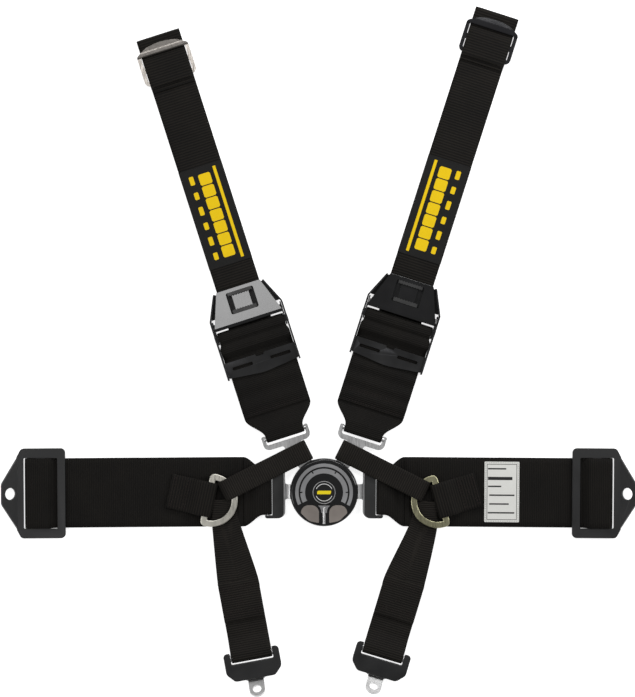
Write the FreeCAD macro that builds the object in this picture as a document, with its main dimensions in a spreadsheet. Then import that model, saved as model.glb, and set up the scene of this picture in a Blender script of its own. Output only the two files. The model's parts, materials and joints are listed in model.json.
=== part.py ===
import FreeCAD, Part
import math
import os
import Sketcher

# Six-point racing harness with a rotary quick-release buckle, laid out flat on its back.
# Millimetres. The origin is on the buckle's axis at its back face, +Z is up out of the
# buckle's face and +Y runs between the two shoulder belts.
# Every belt has its own frame: Y runs along the belt and X across it.

doc = FreeCAD.newDocument("racing_harness")
sheet = doc.addObject("Spreadsheet::Sheet", "Sizes")

SIZES = (
    ("webbing", 1.5, "thickness of one webbing ply"),
    ("play", 0.3, "clearance between pieces that pass each other"),
    ("running", 0.05, "radial clearance of a turning fit"),
    # buckle
    ("base_radius", 33.0, "back plate of the buckle"),
    ("base_thickness", 2.5, "back plate of the buckle"),
    ("housing_radius", 34.5, "outside of the housing"),
    ("housing_top", 16.5, "height of the housing's roof"),
    ("roof", 3.5, "thickness of the housing's roof"),
    ("cavity_radius", 25.0, "room for the latch inside the housing"),
    ("shaft_hole", 8.0, "hole in the roof for the cam's shaft"),
    ("screw_circle", 29.5, "radius that the housing screws sit on"),
    ("screw_radius", 1.7, "shank of a housing screw"),
    ("screw_head", 3.2, "head of a housing screw"),
    ("screw_length", 9.0, "housing screw under its head"),
    ("post_radius", 3.0, "centre post that the dial turns on"),
    ("post_top", 22.3, "height of the centre post"),
    ("clip_level", 20.85, "underside of the clip on the post"),
    ("clip_thickness", 0.7, "clip on the post"),
    ("dial_radius", 36.8, "outside of the dial"),
    ("dial_bottom", 13.5, "lower edge of the dial's skirt"),
    ("dial_top", 25.0, "face of the dial"),
    ("skirt_wall", 1.6, "wall of the dial's skirt"),
    ("inlay_depth", 0.8, "how deep the inlays sit in the dial"),
    ("inlay_height", 1.1, "thickness of an inlay"),
    ("outer_inlay_in", 27.5, "inside radius of the outer inlay"),
    ("outer_inlay_out", 31.2, "outside radius of the outer inlay"),
    ("inner_inlay_in", 20.5, "inside radius of the inner inlay"),
    ("inner_inlay_out", 25.7, "outside radius of the inner inlay"),
    ("badge_radius", 12.4, "round badge at the dial's centre"),
    ("badge_seat", 23.0, "height of the badge's seat"),
    ("pad_height", 2.2, "thickness of a thumb pad"),
    ("pin_radius", 1.8, "steel pin between the thumb pads"),
    ("cam_shaft", 7.5, "radius of the cam's shaft"),
    ("cam_flange", 10.5, "radius of the cam's flange"),
    ("spring_in", 4.95, "inside fold of the return spring"),
    ("spring_out", 5.55, "outside fold of the return spring"),
    ("spring_rise", 0.9, "height of one coned disc of the return spring"),
    ("spring_sheet", 0.35, "sheet of the return spring"),
    # tongues
    ("tongue_thickness", 3.0, "steel of the tongues"),
    ("tongue_level", 9.5, "middle of the blade in the buckle"),
    ("blade_width", 16.0, "tongue blade"),
    ("blade_tip", 17.0, "how near the axis a blade reaches"),
    ("latch_centre", 23.0, "radius of the latch windows"),
    ("latch_window", 5.0, "length of a latch window"),
    ("bar_radius", 2.5, "round bar that a belt hangs on"),
    # shoulder belts
    ("shoulder_angle", 34.0, "shoulder tongue from +Y"),
    ("shoulder_lean", 17.75, "shoulder belt from +Y"),
    ("shoulder_reach", 76.0, "buckle axis to shoulder bar"),
    ("ring_width", 53.0, "shoulder tongue's ring"),
    ("ring_band", 5.6, "width of the ring's band"),
    ("pad_width", 75.0, "wide shoulder webbing"),
    ("pad_neck", 43.0, "wide webbing where it loops on the ring"),
    ("pad_taper", 27.0, "end of the wide webbing's taper"),
    ("strap_width", 49.0, "shoulder strap"),
    ("left_adjuster", 73.0, "shoulder bar to the left adjuster"),
    ("right_adjuster", 80.0, "shoulder bar to the right adjuster"),
    ("left_strap_end", 459.4, "shoulder bar to the left strap's end"),
    ("right_strap_end", 484.4, "shoulder bar to the right strap's end"),
    ("left_slide", 405.0, "shoulder bar to the left bar slide"),
    ("right_slide", 430.0, "shoulder bar to the right bar slide"),
    ("left_label", 250.0, "shoulder bar to the left label's middle"),
    ("right_label", 256.6, "shoulder bar to the right label's middle"),
    ("label_length", 112.0, "label on a shoulder strap"),
    ("label_thickness", 0.6, "label on a shoulder strap"),
    ("slide_gap", 0.7, "strap's edge to the bar slide's side bar"),
    ("slide_side", 4.0, "side bar of the bar slide"),
    ("slide_bar", 2.2, "thickness of the bar slide"),
    ("slide_length", 41.0, "bar slide along the strap"),
    ("lever_pivot", 47.0, "adjuster's edge to its pivot bar"),
    ("pivot_radius", 4.0, "pivot bar of the adjuster"),
    ("rail_thickness", 1.8, "side rail of the adjuster"),
    ("ear_thickness", 1.5, "ear of the adjuster's lever"),
    ("rail_height", 10.6, "side rail of the adjuster"),
    ("adjuster_length", 94.0, "adjuster along the belt"),
    ("clamp_radius", 3.0, "clamp bar in the lever"),
    # lap belts
    ("lap_droop", 0.45, "how far the lap belts droop outwards"),
    ("lap_width", 76.0, "lap webbing"),
    ("lap_neck", 50.0, "lap webbing where it loops on its tongue"),
    ("lap_bar", 61.0, "buckle axis to the lap tongue's bar"),
    ("lap_level", 6.2, "height of the lap tongue's bar"),
    ("lap_frame", 58.0, "lap tongue's frame across the belt"),
    ("left_lap", 282.0, "buckle axis to the left anchor's near edge"),
    ("right_lap", 270.6, "buckle axis to the right anchor's near edge"),
    ("anchor_width", 98.0, "lap anchor across the belt"),
    ("anchor_flat", 53.0, "flat part of the lap anchor"),
    ("anchor_shoulder", 48.0, "where the lap anchor starts to narrow"),
    ("anchor_bend", 38.0, "upward bend of the lap anchor's tip"),
    ("anchor_tab", 20.0, "tip of the lap anchor beyond its bend"),
    ("anchor_hole", 6.5, "bolt hole radius of a lap anchor"),
    ("anchor_plate", 3.0, "steel of the anchors"),
    ("ring_height", 58.0, "D ring along its bar"),
    ("ring_stock", 7.0, "width of the D ring's stock"),
    ("ring_thickness", 3.0, "thickness of the D ring"),
    ("ring_level", 7.2, "underside of the D ring"),
    ("tab_width", 38.0, "webbing tab that holds the D ring"),
    ("tab_reach", 40.0, "tab beyond the D ring's bar"),
    ("tag_width", 38.0, "sewn tag along the right lap belt"),
    ("tag_height", 66.0, "sewn tag across the right lap belt"),
    ("tag_thickness", 0.5, "sewn tag"),
    # leg straps
    ("leg_width", 23.0, "leg loop webbing"),
    ("leg_fall", 26.5, "slope of the leg loop's upper run"),
    ("leg_crossing", 49.1, "where the loop crosses the tongue"),
    ("leg_strap_width", 45.0, "leg strap webbing"),
    ("patch_start", 35.4, "anchor bar to the sewn patch"),
    ("patch_end", 83.5, "anchor bar to the end of the sewn patch"),
    ("crotch_bar", 3.5, "round bar of a crotch anchor"),
    ("crotch_level", 5.3, "height of a crotch anchor's bar"),
    ("crotch_width", 61.0, "crotch anchor across the strap"),
    ("eye_bend", 45.0, "upward bend of the crotch anchor's eye"),
    ("eye_hole", 4.75, "hole radius of a crotch anchor's eye"),
)

for row, (alias, value, meaning) in enumerate(SIZES, start=1):
    sheet.set("A%d" % row, meaning)
    sheet.set("B%d" % row, str(value))
    sheet.setAlias("B%d" % row, alias)
doc.recompute()
S = {alias: float(sheet.get(alias)) for alias, value, meaning in SIZES}

nodes = {}


# ---------------------------------------------------------------- outlines

def unit(a, b):
    length = math.hypot(b[0] - a[0], b[1] - a[1])
    return (b[0] - a[0]) / length, (b[1] - a[1]) / length


def vector(x, y):
    return FreeCAD.Vector(x, y, 0)


def rounded(points):
    """Closed outline through (x, y) or (x, y, radius) corners, each corner an arc."""
    corners = [(p[0], p[1], p[2] if len(p) > 2 else 0.0) for p in points]
    count = len(corners)
    ends = []
    for index in range(count):
        before, here, after = corners[index - 1], corners[index], corners[(index + 1) % count]
        back, ahead = unit(here, before), unit(here, after)
        half = math.acos(max(-1.0, min(1.0, back[0] * ahead[0] + back[1] * ahead[1]))) / 2
        if here[2] <= 0 or half > math.pi / 2 - 1e-4:
            ends.append((here[:2], None, here[:2]))
            continue
        reach = here[2] / math.tan(half)
        rise = here[2] / math.sin(half) - here[2]
        middle = unit((0, 0), (back[0] + ahead[0], back[1] + ahead[1]))
        ends.append(((here[0] + back[0] * reach, here[1] + back[1] * reach),
                     (here[0] + middle[0] * rise, here[1] + middle[1] * rise),
                     (here[0] + ahead[0] * reach, here[1] + ahead[1] * reach)))
    edges = []
    for index in range(count):
        start, middle, end = ends[index]
        if middle:
            edges.append(Part.Arc(vector(*start), vector(*middle), vector(*end)))
        following = ends[(index + 1) % count][0]
        if math.hypot(following[0] - end[0], following[1] - end[1]) > 1e-6:
            edges.append(Part.LineSegment(vector(*end), vector(*following)))
    return edges


def ribbon(path, thickness):
    """Outline of a strip of one thickness whose middle follows (x, y, radius) corners."""
    half = thickness / 2
    path = [(p[0], p[1], p[2] if len(p) > 2 else 0.0) for p in path]
    left, right = [], []
    for index, (x, y, radius) in enumerate(path):
        into = unit(path[index - 1], path[index]) if index else None
        out = unit(path[index], path[index + 1]) if index + 1 < len(path) else None
        into, out = into or out, out or into
        a, b = (-into[1], into[0]), (-out[1], out[0])
        scale = half / (1 + a[0] * b[0] + a[1] * b[1])
        shift = ((a[0] + b[0]) * scale, (a[1] + b[1]) * scale)
        turn = into[0] * out[1] - into[1] * out[0]
        inner, outer = max(radius - half, 0), radius + half if radius else 0
        left.append((x + shift[0], y + shift[1], inner if turn > 0 else outer))
        right.append((x - shift[0], y - shift[1], outer if turn > 0 else inner))
    return rounded(left + right[::-1])


def box(x0, y0, x1, y1, radius=0.0):
    return rounded([(x0, y0, radius), (x1, y0, radius), (x1, y1, radius), (x0, y1, radius)])


def turned_box(inner, outer, width, angle):
    """Rectangle of a width that reaches from one radius to another at an angle from +X."""
    along = (math.cos(math.radians(angle)), math.sin(math.radians(angle)))
    corners = ((inner, -width / 2), (outer, -width / 2), (outer, width / 2), (inner, width / 2))
    return rounded([(r * along[0] - w * along[1], r * along[1] + w * along[0]) for r, w in corners])


def arc_band(inner, outer, first, last):
    """Band between two radii and two angles in degrees."""
    a, b = math.radians(first), math.radians(last)
    centre, up = vector(0, 0), FreeCAD.Vector(0, 0, 1)
    edges = [Part.ArcOfCircle(Part.Circle(centre, up, r), a, b) for r in (inner, outer)]
    for angle in (a, b):
        edges.append(Part.LineSegment(vector(inner * math.cos(angle), inner * math.sin(angle)),
                                      vector(outer * math.cos(angle), outer * math.sin(angle))))
    return edges


# ---------------------------------------------------------------- features

def placed(x, y, turn):
    return FreeCAD.Placement(FreeCAD.Vector(x, y, 0),
                             FreeCAD.Rotation(FreeCAD.Vector(0, 0, 1), turn))


def new_body(name, place=None):
    body = doc.addObject("PartDesign::Body", name)
    body.Label = name
    body.Placement = place or FreeCAD.Placement()
    nodes[name] = body
    return body


def bind(thing, prop, size):
    """Bind a property to a sheet expression, or set it to a plain number worked out from sizes."""
    if isinstance(size, str):
        words = size.split()
        thing.setExpression(prop, " ".join("Sizes." + w if w in S else w for w in words))
    else:
        thing.setExpression(prop, repr(round(size, 6)))


def sketch(body, plane, wires=(), circles=(), level=None, offset=None):
    """Sketch on an origin plane, lifted along its normal. A circle is (x, y, radius)."""
    drawing = body.newObject("Sketcher::SketchObject", body.Label + "_sketch")
    support = [f for f in body.Origin.OriginFeatures if f.Role == plane][0]
    drawing.AttachmentSupport = [(support, "")]
    drawing.MapMode = "FlatFace"
    if offset:
        drawing.AttachmentOffset = offset
    if level is not None:
        bind(drawing, ".AttachmentOffset.Base.z", level)
    for wire in wires:
        drawing.addGeometry(wire, False)
    for x, y, radius in circles:
        circle = Part.Circle(vector(x, y), FreeCAD.Vector(0, 0, 1), 1.0)
        index = drawing.addGeometry(circle, False)
        drawing.addConstraint(Sketcher.Constraint("DistanceX", -1, 1, index, 3, x))
        drawing.addConstraint(Sketcher.Constraint("DistanceY", -1, 1, index, 3, y))
        rule = drawing.addConstraint(Sketcher.Constraint("Radius", index, 1.0))
        bind(drawing, "Constraints[%d]" % rule, radius)
    return drawing


def pad(body, drawing, length, symmetric=False):
    feature = body.newObject("PartDesign::Pad", body.Label + "_pad")
    feature.Profile = drawing
    feature.SideType = "Symmetric" if symmetric else "One side"
    bind(feature, "Length", length)
    body.Tip = feature
    doc.recompute()
    return feature


def pocket(body, drawing, depth, upward=True, symmetric=False):
    """Cut along the sketch's normal. A cut that takes nothing away is an error."""
    before = body.Shape.Volume
    feature = body.newObject("PartDesign::Pocket", body.Label + "_pocket")
    feature.Profile = drawing
    feature.SideType = "Symmetric" if symmetric else "One side"
    feature.Reversed = upward
    bind(feature, "Length", depth)
    body.Tip = feature
    doc.recompute()
    if body.Shape.Volume > before - 1e-3:
        raise RuntimeError("%s: a pocket cuts nothing" % body.Label)
    return feature


def revolve(body, wire):
    """Full turn about Z of an outline drawn as radius and height."""
    drawing = sketch(body, "XZ_Plane", [wire])
    feature = body.newObject("PartDesign::Revolution", body.Label + "_turned")
    feature.Profile = drawing
    feature.ReferenceAxis = (drawing, ["V_Axis"])
    feature.Angle = 360
    body.Tip = feature
    doc.recompute()
    return feature


def keep_inside(body, outline, reach, height):
    """Cut a folded strip or bent plate back to the outline that it has seen from above."""
    around = box(-reach, -reach, reach, reach)
    pocket(body, sketch(body, "XY_Plane", [around, outline], level=-1.0), height)


def strip(name, place, path, width, thickness="webbing"):
    """Webbing or plate seen from its side as a path, as wide as its width."""
    body = new_body(name, place)
    pad(body, sketch(body, "YZ_Plane", [ribbon(path, S[thickness])]), width, symmetric=True)
    return body


def plate(name, place, wires, level, thickness):
    """Flat plate with holes that starts at a level."""
    body = new_body(name, place)
    pad(body, sketch(body, "XY_Plane", wires, level=level), thickness)
    return body


# ---------------------------------------------------------------- buckle

SLOT_ANGLES = (0, 90 - S["shoulder_angle"], 90 + S["shoulder_angle"], 180, 270)
SCREW_ANGLES = (90, 222, 318)
t = S["webbing"]


def on_circle(radius, angle):
    return radius * math.cos(math.radians(angle)), radius * math.sin(math.radians(angle))


def screw_holes(radius):
    return [on_circle(S["screw_circle"], angle) + (radius,) for angle in SCREW_ANGLES]


def make_base_plate():
    body = new_body("base_plate")
    pad(body, sketch(body, "XY_Plane", circles=[(0, 0, "base_radius")]), "base_thickness")
    pocket(body, sketch(body, "XY_Plane", circles=screw_holes("screw_radius + running")),
           "base_thickness")
    pocket(body, sketch(body, "XY_Plane", circles=screw_holes("screw_head + running")), 1.6)


def make_housing():
    body = new_body("housing")
    bottom = S["base_thickness"]
    pad(body, sketch(body, "XY_Plane", level="base_thickness",
                     circles=[(0, 0, "housing_radius"), (0, 0, "shaft_hole")]),
        "housing_top - base_thickness")
    pocket(body, sketch(body, "XY_Plane", level="base_thickness", circles=[(0, 0, "cavity_radius")]),
           "housing_top - roof - base_thickness")
    slots = [turned_box(22, 40, S["blade_width"] + 1.0, angle) for angle in SLOT_ANGLES]
    pocket(body, sketch(body, "XY_Plane", slots, level="tongue_level - tongue_thickness / 2 - 0.2"),
           "tongue_thickness + 0.4")
    pocket(body, sketch(body, "XY_Plane", level=bottom, circles=screw_holes("screw_radius")),
           "screw_length - 0.9")


def make_centre_post():
    shaft, neck = S["post_radius"], S["post_radius"] - 0.7
    low, high = S["clip_level"] - 0.05, S["clip_level"] + S["clip_thickness"] + 0.05
    body = new_body("centre_post")
    foot = S["base_thickness"]
    revolve(body, rounded([(0, foot), (shaft, foot), (shaft, low), (neck, low), (neck, high),
                           (shaft, high), (shaft, S["post_top"]), (0, S["post_top"])]))


def make_dial_clip():
    body = new_body("dial_clip")
    neck = S["post_radius"] - 0.65
    pad(body, sketch(body, "XY_Plane", level="clip_level", circles=[(0, 0, 5.2), (0, 0, neck)]),
        "clip_thickness")
    pocket(body, sketch(body, "XY_Plane", [box(-1.4, -8, 1.4, -1)], level="clip_level"),
           "clip_thickness")


def make_latch_star():
    """Flat spring with one arm and one upturned tooth under each tongue."""
    body = new_body("latch_star")
    arms = [turned_box(11, S["cavity_radius"] - 0.4, 7, angle) for angle in SLOT_ANGLES[:4]]
    half = S["latch_window"] / 2 - 0.7
    centre = S["latch_centre"]
    teeth = [turned_box(centre - half, centre + half, 5, angle) for angle in SLOT_ANGLES[:4]]
    pad(body, sketch(body, "XY_Plane", level=4.0, circles=[(0, 0, 13.0), (0, 0, "post_radius + 0.4")]), 1.0)
    pad(body, sketch(body, "XY_Plane", arms, level=4.0), 1.0)
    pad(body, sketch(body, "XY_Plane", teeth, level=4.0), "tongue_level + 0.9 - 4")


def make_return_spring():
    """Stack of coned disc springs, joined at their rims."""
    body = new_body("return_spring")
    inner, outer, rise = S["spring_in"], S["spring_out"], S["spring_rise"]
    zigzag = [(inner if step % 2 == 0 else outer, 5.5 + step * rise) for step in range(7)]
    revolve(body, ribbon(zigzag, S["spring_sheet"]))


def make_housing_screws():
    screws = []
    for index, angle in enumerate(SCREW_ANGLES):
        x, y = on_circle(S["screw_circle"], angle)
        head = doc.addObject("Part::Cylinder", "screw_head_%d" % index)
        shank = doc.addObject("Part::Cylinder", "screw_shank_%d" % index)
        for piece, radius, height, level in ((head, "screw_head", 1.2, 0.4),
                                             (shank, "screw_radius", "screw_length", 1.2)):
            bind(piece, "Radius", radius)
            bind(piece, "Height", height)
            piece.Placement.Base = FreeCAD.Vector(x, y, level)
        screw = doc.addObject("Part::Fuse", "screw_%d" % index)
        screw.Base, screw.Tool = head, shank
        screws.append(screw)
    group = doc.addObject("Part::Compound", "screws")
    group.Links = screws
    group.Label = "housing_screws"
    nodes["housing_screws"] = group


def make_slot_plug():
    half = S["blade_width"] / 2
    plate("slot_plug", None, [box(-half, -34, half, -26, 1.0)],
          "tongue_level - tongue_thickness / 2", "tongue_thickness")


def thumb_pad(side, grow=0.0):
    points = ((5.5, -33.0, 1.0), (5.5, -13.8, 8.2), (24.9, -13.8, 8.2), (24.9, -22.4, 0.3),
              (16.4, -30.9, 12.0))
    middle = (15.2, -23.5)
    outline = [(side * (x + math.copysign(grow, x - middle[0])), y + math.copysign(grow, y - middle[1]), r)
               for x, y, r in points]
    return rounded(outline)


def make_dial():
    body = new_body("dial")
    bore, shaft = S["post_radius"] + S["running"], S["cam_shaft"] + S["running"]
    outside, skirt = S["dial_radius"], S["dial_radius"] - S["skirt_wall"]
    top, seat, under = S["dial_top"], S["badge_seat"], S["housing_top"] + 0.8
    badge, recess, shelf = S["badge_radius"] + 0.1, 6.2, S["clip_level"] - 0.5
    shoulder = under + 1.2
    revolve(body, rounded([(bore, shoulder), (shaft, shoulder), (shaft, under), (skirt, under),
                           (skirt, S["dial_bottom"]), (outside, S["dial_bottom"], 0.6),
                           (outside, top - 1.5, 2.5), (outside - 2.0, top, 1.5), (badge, top),
                           (badge, seat), (recess, seat), (recess, shelf), (bore, shelf)]))
    sink = [arc_band(S[ring + "_in"] - 0.1, S[ring + "_out"] + 0.1, -28.3, 206.3)
            for ring in ("outer_inlay", "inner_inlay")]
    for wire in sink:
        pocket(body, sketch(body, "XY_Plane", [wire], level="dial_top"), "inlay_depth", upward=False)
    for side in (-1, 1):
        pocket(body, sketch(body, "XY_Plane", [thumb_pad(side, 0.2)], level="dial_top"),
               "inlay_depth", upward=False)
    groove = S["pin_radius"] + 0.05
    pocket(body, sketch(body, "XY_Plane", [box(-groove, -34.3, groove, -15.8)], level="dial_top"),
           "pin_radius", upward=False)


def make_inlays():
    level = "dial_top - inlay_depth"
    plate("outer_inlay", None, [arc_band(S["outer_inlay_in"], S["outer_inlay_out"], -28, 206)],
          level, "inlay_height")
    inner = plate("inner_inlay", None, [arc_band(S["inner_inlay_in"], S["inner_inlay_out"], -28, 206)],
                  level, "inlay_height")
    notches = [turned_box(S["inner_inlay_out"] - 2.4, S["inner_inlay_out"] + 1, 1.3, angle)
               for angle in (0, 60, 120, 180)]
    pocket(inner, sketch(inner, "XY_Plane", notches, level=level), "inlay_height")
    for name, side in (("left_thumb_pad", -1), ("right_thumb_pad", 1)):
        plate(name, None, [thumb_pad(side)], level, "pad_height")
    badge = new_body("badge")
    pad(badge, sketch(badge, "XY_Plane", level="badge_seat", circles=[(0, 0, "badge_radius")]),
        "dial_top - badge_seat + 0.6")
    pin = new_body("dial_pin")
    spot = FreeCAD.Placement(FreeCAD.Vector(0, S["dial_top"], 0), FreeCAD.Rotation())
    pad(pin, sketch(pin, "XZ_Plane", offset=spot, level=16.0, circles=[(0, 0, "pin_radius")]), 18.0)


def make_cam_rotor():
    body = new_body("cam_rotor")
    bore, shaft, flange = S["post_radius"] + S["running"], S["cam_shaft"], S["cam_flange"]
    ceiling, under = S["housing_top"] - S["roof"], S["housing_top"] + 0.8
    revolve(body, rounded([(bore, ceiling - 1.1), (flange, ceiling - 1.1), (flange, ceiling - 0.3),
                           (shaft, ceiling - 0.3), (shaft, under + 1.1), (bore, under + 1.1)]))
    lobes = [turned_box(7.4, 10.0, 3.0, angle + 20) for angle in SLOT_ANGLES[:4]]
    pad(body, sketch(body, "XY_Plane", lobes, level=ceiling - 1.8), 1.0)


# ---------------------------------------------------------------- shoulder belts

def make_shoulder_tongue(side, name):
    body = new_body(name + "_shoulder_tongue", placed(0, 0, -side * S["shoulder_angle"]))
    reach, level, blade = S["shoulder_reach"], S["tongue_level"], S["blade_width"] / 2
    path = [(S["blade_tip"], level), (reach + 20, level)]
    pad(body, sketch(body, "YZ_Plane", [ribbon(path, S["tongue_thickness"])]), 90, symmetric=True)
    turn = math.radians(side * (S["shoulder_angle"] - S["shoulder_lean"]))

    def ring(across, along, radius=0.0):
        return (across * math.cos(turn) - along * math.sin(turn),
                across * math.sin(turn) + along * math.cos(turn) + reach, radius)

    half, band = S["ring_width"] / 2, S["ring_band"]
    slot, near = S["pad_neck"] / 2 + 0.8, -6.8
    flank = [(x + (near - band) * math.sin(turn)) / math.cos(turn) for x in (-blade - 1, blade + 1)]
    outline = [(-blade, S["blade_tip"], 4), (-blade, 44, 3), (-blade - 1, 50, 3),
               ring(flank[0], near - band, 2), ring(-half, near - band, 7), ring(-half, 3.5, 1.5),
               ring(half, 3.5, 1.5), ring(half, near - band, 7), ring(flank[1], near - band, 2),
               (blade + 1, 50, 3), (blade, 44, 3), (blade, S["blade_tip"], 4)]
    keep_inside(body, rounded(outline), 130, 40)
    opening = rounded([ring(-slot, near, 2), ring(slot, near, 2), ring(slot, 6), ring(-slot, 6)])
    window = box(-3.5, S["latch_centre"] - S["latch_window"] / 2, 3.5,
                 S["latch_centre"] + S["latch_window"] / 2, 1.0)
    pocket(body, sketch(body, "XY_Plane", [opening, window], level=-1.0), 40)
    bar = FreeCAD.Placement(FreeCAD.Vector(reach, level, 0),
                            FreeCAD.Rotation(FreeCAD.Vector(0, 1, 0), math.degrees(turn)))
    pad(body, sketch(body, "YZ_Plane", circles=[(0, 0, "bar_radius")], offset=bar),
        "ring_width - 5", symmetric=True)


def shoulder_place(side):
    angle = math.radians(S["shoulder_angle"])
    return placed(side * S["shoulder_reach"] * math.sin(angle),
                  S["shoulder_reach"] * math.cos(angle), -side * S["shoulder_lean"])


def make_pad_webbing(side, name, start):
    """Wide webbing: round the tongue's bar, along, round the adjuster's bar and back on top."""
    play, level = S["play"], S["tongue_level"]
    loop = S["bar_radius"] + play + t / 2
    low = t + 0.4 + t / 2
    middle, top = low + t + play, low + 2 * (t + play)
    pivot = start + S["lever_pivot"]
    roll = S["pivot_radius"] + play + t / 2
    path = [(60, middle), (25, middle, 12), (10, level + loop, 8), (-loop, level + loop, loop),
            (-loop, level - loop, loop), (8, level - loop, 8), (25, low, 12),
            (pivot + roll, low, roll), (pivot + roll, low + 2 * roll, roll),
            (pivot - 4, low + 2 * roll, 4), (start + 39, 10.4, 3), (start + 34, 12.2, 4),
            (start + 29, 12.0, 3), (start + 22.5, top, 3), (28.5, top)]
    body = strip(name + "_pad_webbing", shoulder_place(side), path, "pad_width")
    half, neck, taper = S["pad_width"] / 2, S["pad_neck"] / 2, S["pad_taper"]
    keep_inside(body, rounded([(-neck, -20), (neck, -20), (neck, 5, 3), (half, taper, 3),
                               (half, 300), (-half, 300), (-half, taper, 3), (-neck, 5, 3)]), 400, 60)


def make_adjuster(side, name, start):
    place = shoulder_place(side)
    low, play, rail = t + 0.4, S["play"], S["rail_thickness"]
    pivot = start + S["lever_pivot"]
    ear_in = S["pad_width"] / 2 + play
    ear_out = ear_in + S["ear_thickness"]
    rail_in, rail_out = ear_out + play, ear_out + play + rail
    far, straight = start + S["adjuster_length"], start + 66
    narrow = 27.0
    keeper_level = low + 2 * (t + play) + t + play
    frame = new_body(name + "_adjuster_frame", place)
    rails = [rounded([(k * rail_in, start), (k * rail_out, start), (k * rail_out, straight + 0.4, 4),
                      (k * (narrow + rail), far), (k * narrow, far), (k * rail_in, straight, 4)])
             for k in (-1, 1)]
    wide = rail_in - (rail_in - narrow) * 2 / 28 + rail / 2
    cross = rounded([(-wide, start + 68), (wide, start + 68), (narrow + rail / 2, far - 0.5),
                     (-narrow - rail / 2, far - 0.5)])
    pad(frame, sketch(frame, "XY_Plane", [cross], level=low), "webbing")
    rail_drawing = sketch(frame, "XY_Plane", rails, level=low)
    pad(frame, rail_drawing, "rail_height + 0.4")
    keeper = [rounded([(-rail_out, start + 2, 4), (0, start - 2.5, 60), (rail_out, start + 2, 4),
                       (rail_out, start + 19), (5, start + 19, 1), (4, start + 16.5, 1),
                       (-4, start + 16.5, 1), (-5, start + 19, 1), (-rail_out, start + 19)])]
    keeper += [box(k * 10, start + 9, k * 33, start + 12.5, 1.2) if k > 0 else
               box(-33, start + 9, -10, start + 12.5, 1.2) for k in (-1, 1)]
    pad(frame, sketch(frame, "XY_Plane", keeper, level=keeper_level), 1.8)
    pivot_level = low + t / 2 + S["pivot_radius"] + play + t / 2
    hole = FreeCAD.Placement(FreeCAD.Vector(pivot, pivot_level, 0), FreeCAD.Rotation())
    rail_hole = sketch(frame, "YZ_Plane", circles=[(0, 0, "pivot_radius")], offset=hole)
    pocket(frame, rail_hole, 2 * rail_out + 4, symmetric=True)
    bar = new_body(name + "_adjuster_bar", place)
    pad(bar, sketch(bar, "YZ_Plane", circles=[(0, 0, "pivot_radius")], offset=hole),
        2 * rail_out + 0.6, symmetric=True)

    lever = new_body(name + "_adjuster_lever", place)
    near, lip = start + 54.6, 13.6
    reach, low_end = start + 96, 6.6
    side_view = rounded([(near, lip - 1), (near, lip + 0.8, 0.6), (near + 3, lip + 1.2, 3),
                         (reach, low_end + 2, 1), (reach, low_end), (near + 3, lip - 1, 2)])
    pad(lever, sketch(lever, "YZ_Plane", [side_view]), 2 * ear_out, symmetric=True)
    ear_end = start + 65
    keep_inside(lever, rounded([(-ear_out, near - 2), (ear_out, near - 2),
                                (ear_out, near), (24.5, reach, 3), (-24.5, reach, 3),
                                (-ear_out, near)]), 400, 60)
    window = box(-15.5, start + 67.5, 15.5, start + 91.5, 2.0)
    pocket(lever, sketch(lever, "XY_Plane", [window]), 40)
    shelf = rounded([(near + 10, 12.0), (near + 10, 10.4), (reach - 7, 6.4), (reach - 7, 8.0)])
    pad(lever, sketch(lever, "YZ_Plane", [shelf]), 19, symmetric=True)
    ear = rounded([(pivot - 7, pivot_level - 4.6, 4), (ear_end - 1, 2.4, 3), (ear_end + 1, 9, 1),
                   (near + 3, lip + 0.6, 2), (near - 1, lip + 0.2, 2), (pivot - 7, pivot_level + 5.5, 6)])
    ears = sketch(lever, "YZ_Plane", [ear])
    pad(lever, ears, 2 * ear_out, symmetric=True)
    inside = rounded([(pivot - 20, -2), (ear_end + 8, -2), (ear_end + 8, 8.9), (near + 4, lip - 1.2),
                      (near + 0.02, lip - 1.0), (near - 0.02, 30), (pivot - 20, 30)])
    pocket(lever, sketch(lever, "YZ_Plane", [inside]), 2 * ear_in, symmetric=True)
    lever_hole = sketch(lever, "YZ_Plane", circles=[(0, 0, "pivot_radius + running")], offset=hole)
    pocket(lever, lever_hole, 2 * ear_out + 4, symmetric=True)
    grip = FreeCAD.Placement(FreeCAD.Vector(start + 60, 2.2 + S["clamp_radius"], 0), FreeCAD.Rotation())
    grip_hole = sketch(lever, "YZ_Plane", circles=[(0, 0, "clamp_radius")], offset=grip)
    pocket(lever, grip_hole, 2 * ear_out + 4, symmetric=True)
    clamp = new_body(name + "_clamp_bar", place)
    pad(clamp, sketch(clamp, "YZ_Plane", circles=[(0, 0, "clamp_radius")], offset=grip),
        2 * ear_out, symmetric=True)


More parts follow.
